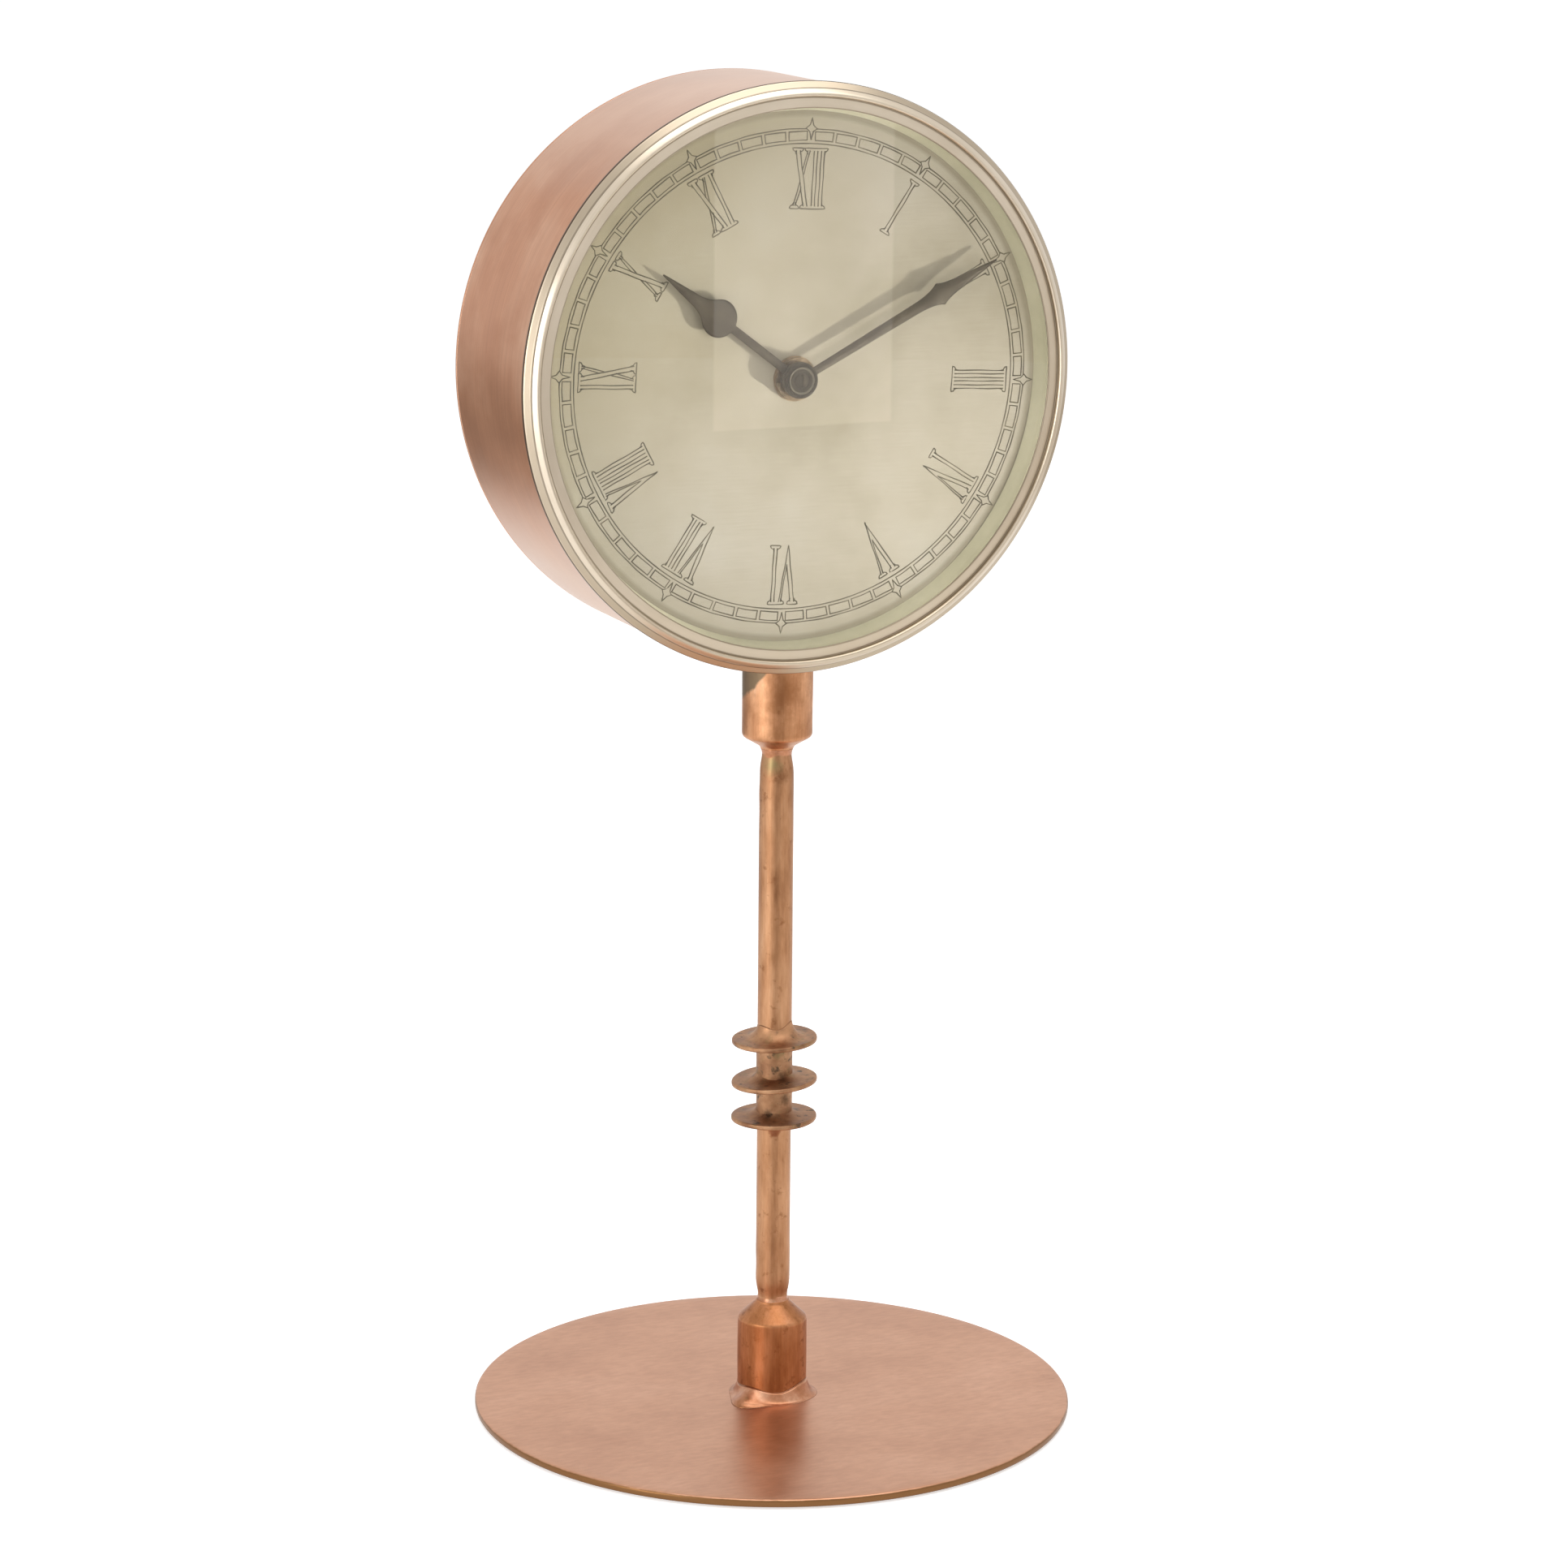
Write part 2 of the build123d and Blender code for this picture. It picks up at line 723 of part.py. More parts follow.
with BuildPart() as movement_front_case:
    with BuildSketch(front_plane(case_front)):
        with Locations((0, case_middle)):
            Rectangle(2 * case_half_width, case_outer_height)
    extrude(amount=case_joint - case_front)
    with BuildSketch(front_plane(case_floor)):
        with Locations((0, case_middle)):
            Rectangle(2 * case_inner, case_inner_height)
    extrude(amount=case_joint - case_floor, mode=Mode.SUBTRACT)
    with BuildSketch(front_plane(case_floor)):
        with Locations((0, partition_height + partition_wall / 2)):
            Rectangle(2 * case_inner, partition_wall)
    extrude(amount=case_joint - case_floor)
    with BuildSketch(front_plane(case_floor)):
        with Locations(*bridge_posts):
            Circle(post_radius)
    extrude(amount=bridge_front - case_floor)
    with BuildSketch(front_plane(case_floor)):
        with Locations(*stator_posts):
            Circle(post_radius - running_gap)
    extrude(amount=stator_front - case_floor)
    with BuildSketch(front_plane(case_floor)):
        with Locations(*board_posts):
            Circle(post_radius)
    extrude(amount=board_back + board_thickness - case_floor)
    with BuildSketch(front_plane(case_floor)):
        with Locations(minute_arbor_place):
            Circle(stud_radius)
    extrude(amount=layer_minute - running_gap - case_floor)
    with BuildSketch(front_plane(case_front)):
        Circle(neck_radius)
    extrude(amount=neck_end - case_front)
    with BuildSketch(front_plane(neck_end)):
        Circle(neck_bore)
    extrude(amount=case_floor - neck_end, mode=Mode.SUBTRACT)
    with BuildSketch(front_plane(case_floor)):
        with Locations(third_arbor_place, middle_arbor_place, rotor_arbor_place, set_arbor_place):
            Circle(pivot_bore)
    extrude(amount=pivot_depth, mode=Mode.SUBTRACT)
save(movement_front_case, "movement_front_case")

with BuildPart() as movement_rear_case:
    with BuildSketch(front_plane(case_joint)):
        with Locations((0, case_middle)):
            Rectangle(2 * case_half_width, case_outer_height)
    extrude(amount=case_back - case_joint)
    with BuildSketch(front_plane(case_joint)):
        with Locations((0, case_middle)):
            Rectangle(2 * case_inner, case_inner_height)
    extrude(amount=case_back + case_wall - case_joint, mode=Mode.SUBTRACT)
    with BuildSketch(front_plane(case_joint)):
        with Locations((0, partition_height + partition_wall / 2)):
            Rectangle(2 * case_inner, partition_wall)
    extrude(amount=case_back - case_joint)
    with BuildSketch(front_plane(case_back)):
        with Locations((0, (partition_height + case_bottom_inner) / 2)):
            Rectangle(2 * case_inner, partition_height - case_bottom_inner)
    extrude(amount=2 * case_wall, mode=Mode.SUBTRACT)
    with BuildSketch(front_plane(case_back)):
        with Locations(set_arbor_place):
            Circle(set_arbor_radius + running_gap)
    extrude(amount=2 * case_wall, mode=Mode.SUBTRACT)
save(movement_rear_case, "movement_rear_case")

with BuildPart() as train_bridge:
    with BuildSketch(front_plane(bridge_front)):
        with Locations(((bridge_low[0] + bridge_high[0]) / 2, (bridge_low[1] + bridge_high[1]) / 2)):
            Rectangle(bridge_high[0] - bridge_low[0], bridge_high[1] - bridge_low[1])
        with Locations(centre_arbor, third_arbor_place, middle_arbor_place, rotor_arbor_place):
            Circle(pivot_bore, mode=Mode.SUBTRACT)
        with Locations(set_arbor_place):
            Circle(set_arbor_radius + running_gap, mode=Mode.SUBTRACT)
    extrude(amount=-bridge_thickness)
save(train_bridge, "train_bridge")

# Motor: stator plate, core, bobbin and winding

coil_middle = coil_start + coil_length / 2
stator_width = stator_leg_right - stator_leg_left + leg_width
core_back = stator_front - 2 * stator_thickness
coil_front = stator_front - 1.5 * stator_thickness
leg_top = coil_height + core_half_width
with BuildPart() as stator_plate:
    with BuildSketch(front_plane(stator_front)):
        with Locations((coil_middle, stator_bar_middle)):
            Rectangle(stator_width, stator_bar_width)
        for leg in (stator_leg_left, stator_leg_right):
            with Locations((leg, (stator_bar_bottom + leg_top) / 2)):
                Rectangle(leg_width, leg_top - stator_bar_bottom)
        with Locations(rotor_arbor_place):
            Circle(magnet_radius + rotor_air_gap + stator_ring_width)
            Circle(magnet_radius + rotor_air_gap, mode=Mode.SUBTRACT)
    extrude(amount=-stator_thickness)
save(stator_plate, "stator_plate")

with BuildPart() as coil_core:
    with BuildSketch(front_plane(core_back + stator_thickness)):
        with Locations((coil_middle, coil_height)):
            Rectangle(stator_width, 2 * core_half_width)
    extrude(amount=-stator_thickness)
save(coil_core, "coil_core")

coil_plane = Plane(
    origin=(coil_start, -coil_front, head_height + coil_height),
    x_dir=(0, 1, 0),
    z_dir=(1, 0, 0),
)
with BuildPart() as coil_bobbin:
    with BuildSketch(coil_plane):
        Circle(bobbin_radius)
    extrude(amount=coil_length)
    with BuildSketch(coil_plane, coil_plane.offset(coil_length - flange_width)):
        Circle(flange_radius)
    extrude(amount=flange_width)
    with BuildSketch(coil_plane):
        Rectangle(stator_thickness + 2 * running_gap, 2 * (core_half_width + running_gap))
    extrude(amount=coil_length, mode=Mode.SUBTRACT)
save(coil_bobbin, "coil_bobbin")

with BuildPart() as coil_winding:
    with BuildSketch(coil_plane.offset(flange_width + running_gap)):
        Circle(winding_radius)
        Circle(bobbin_radius + running_gap, mode=Mode.SUBTRACT)
    extrude(amount=coil_length - 2 * (flange_width + running_gap))
save(coil_winding, "coil_winding")

# Electronics: circuit board, chip cover and quartz crystal

with BuildPart() as circuit_board:
    with BuildSketch(front_plane(board_back)):
        with Locations(board_middle):
            Rectangle(board_width, board_height)
    extrude(amount=board_thickness)
save(circuit_board, "circuit_board")

with BuildPart() as chip_cover:
    with BuildSketch(front_plane(board_back)):
        with Locations((board_middle[0], board_middle[1] + chip_rise)):
            Circle(chip_radius)
    extrude(amount=-chip_height)
    fillet(chip_cover.faces().sort_by(Axis.Y)[-1].edges(), chip_edge_radius)
save(chip_cover, "chip_cover")

crystal_plane = Plane(
    origin=(
        board_middle[0] - crystal_length / 2,
        crystal_radius + running_gap - board_back,
        head_height + board_middle[1] - board_height / 2 + crystal_rise,
    ),
    x_dir=(0, 1, 0),
    z_dir=(1, 0, 0),
)
with BuildPart() as quartz_crystal:
    with BuildSketch(crystal_plane):
        Circle(crystal_radius)
    extrude(amount=crystal_length)
save(quartz_crystal, "quartz_crystal")

# Cell and its two contacts: each contact is a strip with a pressed dimple

cell_plane = Plane(
    origin=(-cell_length / 2, -cell_front_distance, head_height + cell_height),
    x_dir=(0, 1, 0),
    z_dir=(1, 0, 0),
)
with BuildPart() as battery_cell:
    with BuildSketch(cell_plane):
        Circle(cell_radius)
    extrude(amount=cell_length - cell_nub_length)
    fillet(battery_cell.edges(), cell_edge_radius)
    with BuildSketch(cell_plane.offset(cell_length - cell_nub_length)):
        Circle(cell_nub_radius)
    extrude(amount=cell_nub_length)
save(battery_cell, "battery_cell")

for contact_name, dimple_radius in dimple_radii.items():
    side = 1 if contact_name == "contact_positive" else -1
    contact_plane = Plane(
        origin=(side * contact_face, -cell_front_distance, head_height + cell_height),
        x_dir=(0, side, 0),
        z_dir=(side, 0, 0),
    )
    with BuildPart() as contact:
        with BuildSketch(contact_plane):
            Rectangle(contact_width, contact_width)
        extrude(amount=contact_thickness)
        with BuildSketch(contact_plane):
            Circle(dimple_radius)
        extrude(amount=-contact_dimple)
    save(contact, contact_name)

# Motion work: hour wheel with its pipe, minute arbor with the cannon pinion, minute wheel

with BuildPart() as hour_wheel:
    with BuildSketch(front_plane(layer_hour)):
        with BuildLine():
            Polyline(*gear_outline(hour_teeth, hour_module, hour_turn), close=True)
        make_face()
    extrude(amount=motion_wheel_thickness)
    with BuildSketch(front_plane(layer_hour)):
        Circle(hour_pipe_radius)
    extrude(amount=hour_hand_back + hand_thickness + running_gap - layer_hour)
    with BuildSketch(front_plane(layer_hour)):
        Circle(pipe_bore)
    extrude(amount=hour_hand_back + 2 * hand_thickness - layer_hour, mode=Mode.SUBTRACT)
save(hour_wheel, "hour_wheel")

with BuildPart() as minute_arbor:
    with BuildSketch(front_plane(layer_minute)):
        with BuildLine():
            Polyline(*gear_outline(cannon_teeth, minute_module, cannon_turn), close=True)
        make_face()
    extrude(amount=motion_wheel_thickness)
    with BuildSketch(front_plane(layer_minute + motion_wheel_thickness)):
        Circle(minute_arbor_radius)
    extrude(amount=cap_nut_back - layer_minute - motion_wheel_thickness)
    with BuildSketch(front_plane(cap_nut_back)):
        Circle(cap_thread_radius)
    extrude(amount=cap_thread_length)
    with BuildSketch(front_plane(layer_minute)):
        Circle(stub_radius)
    extrude(amount=stub_end - layer_minute)
    with BuildSketch(front_plane(stub_end)):
        Circle(pivot_bore)
    extrude(amount=stub_hole_depth, mode=Mode.SUBTRACT)
save(minute_arbor, "minute_arbor")

with BuildPart() as minute_wheel:
    with BuildSketch(front_plane(layer_minute, minute_arbor_place)):
        with BuildLine():
            Polyline(*gear_outline(minute_teeth, minute_module, minute_turn), close=True)
        make_face()
    extrude(amount=motion_wheel_thickness)
    with BuildSketch(front_plane(layer_minute, minute_arbor_place)):
        Circle(minute_hub_radius)
    extrude(amount=layer_hour - layer_minute)
    with BuildSketch(front_plane(layer_hour, minute_arbor_place)):
        with BuildLine():
            Polyline(*gear_outline(minute_pinion_teeth, hour_module, minute_pinion_turn), close=True)
        make_face()
    extrude(amount=motion_wheel_thickness)
    with BuildSketch(front_plane(layer_minute, minute_arbor_place)):
        Circle(stud_radius + running_gap)
    extrude(amount=layer_hour + motion_wheel_thickness - layer_minute, mode=Mode.SUBTRACT)
save(minute_wheel, "minute_wheel")

# Setting arbor and knob

knob_front = case_back - knob_stand_off
knob_back = knob_front - knob_thickness
with BuildPart() as set_arbor:
    with BuildSketch(front_plane(layer_minute, set_arbor_place)):
        with BuildLine():
            Polyline(*gear_outline(cannon_teeth, minute_module, set_turn), close=True)
        make_face()
    extrude(amount=motion_wheel_thickness)
    with BuildSketch(front_plane(knob_back, set_arbor_place)):
        Circle(set_arbor_radius)
    extrude(amount=arbor_front - knob_back)
    with BuildSketch(front_plane(arbor_front, set_arbor_place)):
        Circle(pivot_radius)
    extrude(amount=front_pivot_end - arbor_front)
save(set_arbor, "set_arbor")

with BuildPart() as set_knob:
    with BuildSketch(front_plane(knob_front, set_arbor_place)):
        Circle(knob_radius)
        with PolarLocations(knob_radius, knob_grooves):
            Circle(knob_groove_radius, mode=Mode.SUBTRACT)
        Circle(set_arbor_radius + fit_gap, mode=Mode.SUBTRACT)
    extrude(amount=-knob_thickness)
save(set_knob, "set_knob")

# Going train: each wheel and pinion on one arbor with a pivot at each end


def train_arbor(place, wheel, pinion):
    """One arbor of the train: wheel and pinion are (teeth, module, turn, back face)."""
    with BuildPart() as arbor:
        for teeth, module, turn, back in (wheel, pinion):
            with BuildSketch(front_plane(back, place)):
                with BuildLine():
                    Polyline(*gear_outline(teeth, module, turn), close=True)
                make_face()
            extrude(amount=wheel_thickness)
        with BuildSketch(front_plane(arbor_back, place)):
            Circle(arbor_radius)
        extrude(amount=arbor_front - arbor_back)
        with BuildSketch(front_plane(back_pivot_end, place)):
            Circle(pivot_radius)
        extrude(amount=front_pivot_end - back_pivot_end)
    return arbor


with BuildPart() as centre_wheel:
    with BuildSketch(front_plane(layer_centre)):
        with BuildLine():
            Polyline(*gear_outline(centre_teeth, centre_module, centre_turn), close=True)
        make_face()
        Circle(stub_radius + running_gap, mode=Mode.SUBTRACT)
    extrude(amount=wheel_thickness)
save(centre_wheel, "centre_wheel")

third_wheel = train_arbor(
    third_arbor_place,
    (third_teeth, third_module, third_turn, layer_third),
    (third_pinion_teeth, centre_module, third_pinion_turn, layer_centre),
)
save(third_wheel, "third_wheel")

with BuildPart() as fourth_wheel:
    with BuildSketch(front_plane(layer_fourth)):
        with BuildLine():
            Polyline(*gear_outline(fourth_teeth, fourth_module, fourth_turn), close=True)
        make_face()
    extrude(amount=wheel_thickness)
    with BuildSketch(front_plane(layer_third)):
        with BuildLine():
            Polyline(*gear_outline(fourth_pinion_teeth, third_module, fourth_pinion_turn), close=True)
        make_face()
    extrude(amount=wheel_thickness)
    with BuildSketch(front_plane(arbor_back)):
        Circle(arbor_radius)
    extrude(amount=layer_third - arbor_back)
    with BuildSketch(front_plane(back_pivot_end)):
        Circle(pivot_radius)
    extrude(amount=stub_end + fourth_pivot_length - back_pivot_end)
save(fourth_wheel, "fourth_wheel")

middle_wheel = train_arbor(
    middle_arbor_place,
    (middle_teeth, rotor_module, middle_turn, layer_rotor),
    (middle_pinion_teeth, fourth_module, middle_pinion_turn, layer_fourth),
)
save(middle_wheel, "intermediate_wheel")

with BuildPart() as rotor_pinion:
    with BuildSketch(front_plane(layer_rotor, rotor_arbor_place)):
        with BuildLine():
            Polyline(*gear_outline(rotor_teeth, rotor_module, rotor_turn), close=True)
        make_face()
    extrude(amount=wheel_thickness)
    with BuildSketch(front_plane(arbor_back, rotor_arbor_place)):
        Circle(arbor_radius)
    extrude(amount=arbor_front - arbor_back)
    with BuildSketch(front_plane(back_pivot_end, rotor_arbor_place)):
        Circle(pivot_radius)
    extrude(amount=front_pivot_end - back_pivot_end)
save(rotor_pinion, "rotor_pinion")

with BuildPart() as rotor_magnet:
    with BuildSketch(front_plane(magnet_back, rotor_arbor_place)):
        Circle(magnet_radius)
        Circle(arbor_radius + fit_gap, mode=Mode.SUBTRACT)
    extrude(amount=magnet_front - magnet_back)
save(rotor_magnet, "rotor_magnet")

# Hands and cap nut: points of the outlines are given back from the tip, with the half width


def from_tip(length, point):
    """A point of a hand's outline, from its distance back from the tip."""
    return (length - point[0], point[1])


with BuildPart() as hour_hand:
    with BuildSketch(hand_plane(hour_hand_back, hour_hand_angle)):
        with BuildLine():
            bulb_start = hour_bulb_middle - math.sqrt(hour_bulb_radius**2 - hour_stalk_half_width**2)
            shoulder = hour_bulb_radius * math.sqrt(0.5)
            Line((0, 0), (0, hour_stalk_half_width))
            Line((0, hour_stalk_half_width), (bulb_start, hour_stalk_half_width))
            ThreePointArc(
                (bulb_start, hour_stalk_half_width),
                (hour_bulb_middle, hour_bulb_radius),
                (hour_bulb_middle + shoulder, shoulder),
            )
            taper_start = from_tip(hour_hand_length, hour_taper_start)
            ThreePointArc(
                (hour_bulb_middle + shoulder, shoulder),
                from_tip(hour_hand_length, hour_flank),
                taper_start,
            )
            Line(taper_start, (hour_hand_length, hand_tip_half_width))
            Line((hour_hand_length, hand_tip_half_width), (hour_hand_length, 0))
            mirror(about=Plane.XZ)
        make_face()
        Circle(hour_boss_radius)
        Circle(hour_pipe_radius + fit_gap, mode=Mode.SUBTRACT)
    extrude(amount=hand_thickness)
save(hour_hand, "hour_hand")

with BuildPart() as minute_hand:
    with BuildSketch(hand_plane(minute_hand_back, minute_hand_angle)):
        with BuildLine():
            Line((0, 0), (0, minute_stalk_root))
            Line((0, minute_stalk_root), (minute_dart_start, minute_stalk_end))
            dart_shoulder = from_tip(minute_hand_length, minute_dart_shoulder)
            dart_end = from_tip(minute_hand_length, minute_dart_end)
            ThreePointArc(
                (minute_dart_start, minute_stalk_end),
                from_tip(minute_hand_length, minute_dart_rise),
                dart_shoulder,
            )
            ThreePointArc(dart_shoulder, from_tip(minute_hand_length, minute_dart_fall), dart_end)
            Line(dart_end, (minute_hand_length, hand_tip_half_width))
            Line((minute_hand_length, hand_tip_half_width), (minute_hand_length, 0))
            mirror(about=Plane.XZ)
        make_face()
        Circle(minute_boss_radius)
        Circle(minute_arbor_radius + fit_gap, mode=Mode.SUBTRACT)
    extrude(amount=hand_thickness)
save(minute_hand, "minute_hand")

with BuildPart() as cap_nut:
    with BuildSketch(front_plane(cap_nut_back)):
        Circle(cap_nut_radius)
    extrude(amount=cap_nut_thickness)
    fillet(cap_nut.faces().sort_by(Axis.Y)[0].edges(), cap_edge_radius)
    with BuildSketch(front_plane(cap_nut_back + cap_nut_thickness)):
        Rectangle(cap_groove_width, 2 * cap_nut_radius)
    extrude(amount=-cap_groove_depth, mode=Mode.SUBTRACT)
    with BuildSketch(front_plane(cap_nut_back)):
        Circle(cap_thread_radius + fit_gap)
    extrude(amount=cap_thread_length + running_gap, mode=Mode.SUBTRACT)
save(cap_nut, "cap_nut")
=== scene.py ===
import math
from functools import partial

import bmesh
import bpy
import numpy as np
from mathutils import Matrix, Vector


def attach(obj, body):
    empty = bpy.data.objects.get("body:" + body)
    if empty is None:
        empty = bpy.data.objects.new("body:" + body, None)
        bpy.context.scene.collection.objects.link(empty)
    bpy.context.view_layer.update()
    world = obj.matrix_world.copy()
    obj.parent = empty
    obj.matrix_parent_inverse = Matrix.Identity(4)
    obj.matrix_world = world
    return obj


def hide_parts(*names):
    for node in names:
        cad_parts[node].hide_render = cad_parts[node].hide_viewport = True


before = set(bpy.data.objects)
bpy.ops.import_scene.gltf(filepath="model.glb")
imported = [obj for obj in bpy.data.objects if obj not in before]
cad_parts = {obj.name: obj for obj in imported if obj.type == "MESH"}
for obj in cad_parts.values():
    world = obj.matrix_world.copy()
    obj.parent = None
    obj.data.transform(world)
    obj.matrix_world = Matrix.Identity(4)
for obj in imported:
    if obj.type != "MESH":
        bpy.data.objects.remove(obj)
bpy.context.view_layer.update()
print("stage 1: frame loaded,", len(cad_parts), "CAD nodes")

# Clock on a stand: spun copper drum, brazed copper rod, disc foot. Sizes here are in mm.
mm = 0.001
fullTurn = 2 * math.pi
headHeight = 262.0
drumRadius = 70.5
rng = np.random.default_rng(12)


# sRGB hex to linear RGBA: each channel over 255, then the sRGB curve undone
def linear(hexText):
    part = np.array([int(hexText[i:i + 2], 16) for i in (1, 3, 5)]) / 255
    part = np.where(part <= 0.04045, part / 12.92, ((part + 0.055) / 1.055) ** 2.4)
    return (*part.tolist(), 1.0)


# One node: inputs hold a value or a (node, output name) pair to link, stops the places and colours of a ramp,
# settings are its properties
def addNode(tree, kind, inputs=None, stops=(), **settings):
    node = tree.nodes.new("ShaderNode" + kind)
    for key, value in settings.items():
        setattr(node, key, value)
    for i, (place, hexText) in enumerate(stops):
        element = node.color_ramp.elements[i] if i < 2 else node.color_ramp.elements.new(place)
        element.position, element.color = place, linear(hexText)
    for key, value in (inputs or {}).items():
        if isinstance(value, tuple) and isinstance(value[0], bpy.types.Node):
            tree.links.new(value[0].outputs[value[1]], node.inputs[key])
        else:
            node.inputs[key].default_value = value
    return node


streakShades = [(0.3, "#B8B0A8"), (0.7, "#FFFFFF")]


# A finish from real sizes in mm. Mottle and streak are noise of 1 / size along x, y and z: the mottle runs
# through a colour ramp and sets the wear, the streak darkens it and gives the relief. A stain is a mask of
# finer noise, alone or raised past a plane (where, level), near a ring about the head's axis, or near a spot.
def makeFinish(name, look):
    material = bpy.data.materials.new(name)
    material.use_nodes = True
    tree = material.node_tree
    shader = tree.nodes["Principled BSDF"]
    here = (addNode(tree, "TexCoord"), "Object")
    grain = {}
    for kind, detail, rough in (("mottle", 5.0, look.get("mottleRough", 0.55)), ("streak", 3.0, 0.6)):
        sized = addNode(tree, "Mapping", {"Vector": here,
                        "Scale": [1 / (size * mm) for size in np.broadcast_to(look[kind], 3)]})
        noise = addNode(tree, "TexNoise", {"Vector": (sized, "Vector"), "Scale": 1.0,
                        "Detail": detail, "Roughness": rough})
        grain[kind] = (noise, "Fac")
    tint = addNode(tree, "ValToRGB", {"Fac": grain["mottle"]}, look["colours"])
    shade = addNode(tree, "ValToRGB", {"Fac": grain["streak"]}, streakShades)
    mixed = addNode(tree, "Mix", {"Factor": look["streakShare"], 6: (tint, "Color"),
                    7: (shade, "Color")}, data_type="RGBA", blend_type="MULTIPLY")  # 6 and 7 take colours
    for mark in look.get("stains", []):
        blotch = addNode(tree, "TexNoise", {"Vector": here, "Scale": 1 / (mark["size"] * mm),
                         "Detail": 4.0, "Roughness": 0.6})
        level = (blotch, "Fac")
        if "reach" in mark:
            if "where" in mark:
                spread = addNode(tree, "VectorMath", {0: here, 1: mark["where"]}, operation="DOT_PRODUCT")
            else:
                middle = mark.get("spot", (0, 0, headHeight))
                centred = addNode(tree, "Mapping", {"Vector": here,
                                  "Scale": (1, 1 if "spot" in mark else 0, 1),
                                  "Location": [-m * mm for m in middle]})
                spread = addNode(tree, "VectorMath", {0: (centred, "Vector")}, operation="LENGTH")
            near = addNode(tree, "Math", {0: (spread, "Value"), 1: 1 / (mark["reach"] * mm),
                           2: -mark.get("ring", mark.get("level", 0)) / mark["reach"]},
                           operation="MULTIPLY_ADD")
            if "where" not in mark:
                near = addNode(tree, "Math", {0: (near, "Value")}, operation="ABSOLUTE")
                near = addNode(tree, "Math", {0: 1.0, 1: (near, "Value")}, operation="SUBTRACT")
            level = (addNode(tree, "Math", {0: level, 1: mark["ragged"], 2: (near, "Value")},
                             operation="MULTIPLY_ADD"), "Value")
        mask = addNode(tree, "MapRange", {"Value": level, "From Min": mark["edge"][0],
                       "From Max": mark["edge"][1], "To Min": 0.0, "To Max": mark["share"]}, clamp=True)
        mixed = addNode(tree, "Mix", {"Factor": (mask, "Result"), 6: (mixed, 2),
                        7: linear(mark["colour"])}, data_type="RGBA")
    tree.links.new(mixed.outputs[2], shader.inputs["Base Color"])
    worn = addNode(tree, "MapRange", {"Value": grain["mottle"], "From Min": 0.3, "From Max": 0.7,
                   "To Min": look["roughness"][0], "To Max": look["roughness"][1]})
    tree.links.new(worn.outputs["Result"], shader.inputs["Roughness"])
    strength, depth = look["bump"]
    relief = addNode(tree, "Bump", {"Height": grain["streak"], "Strength": strength, "Distance": depth * mm})
    if "dent" in look:
        strength, depth = look["dent"]
        relief = addNode(tree, "Bump", {"Height": grain["mottle"], "Strength": strength,
                         "Distance": depth * mm, "Normal": (relief, "Normal")})
    tree.links.new(relief.outputs["Normal"], shader.inputs["Normal"])
    shader.inputs["Metallic"].default_value = look.get("metallic", 1.0)
    for key, value in look.get("sockets", {}).items():
        shader.inputs[key].default_value = value
    return material


# A stain: colour, noise size in mm, edge and share of its mask, then the place it keeps to
def stain(colour, size, edge, share, **place):
    return {"colour": colour, "size": size, "edge": edge, "share": share, **place}


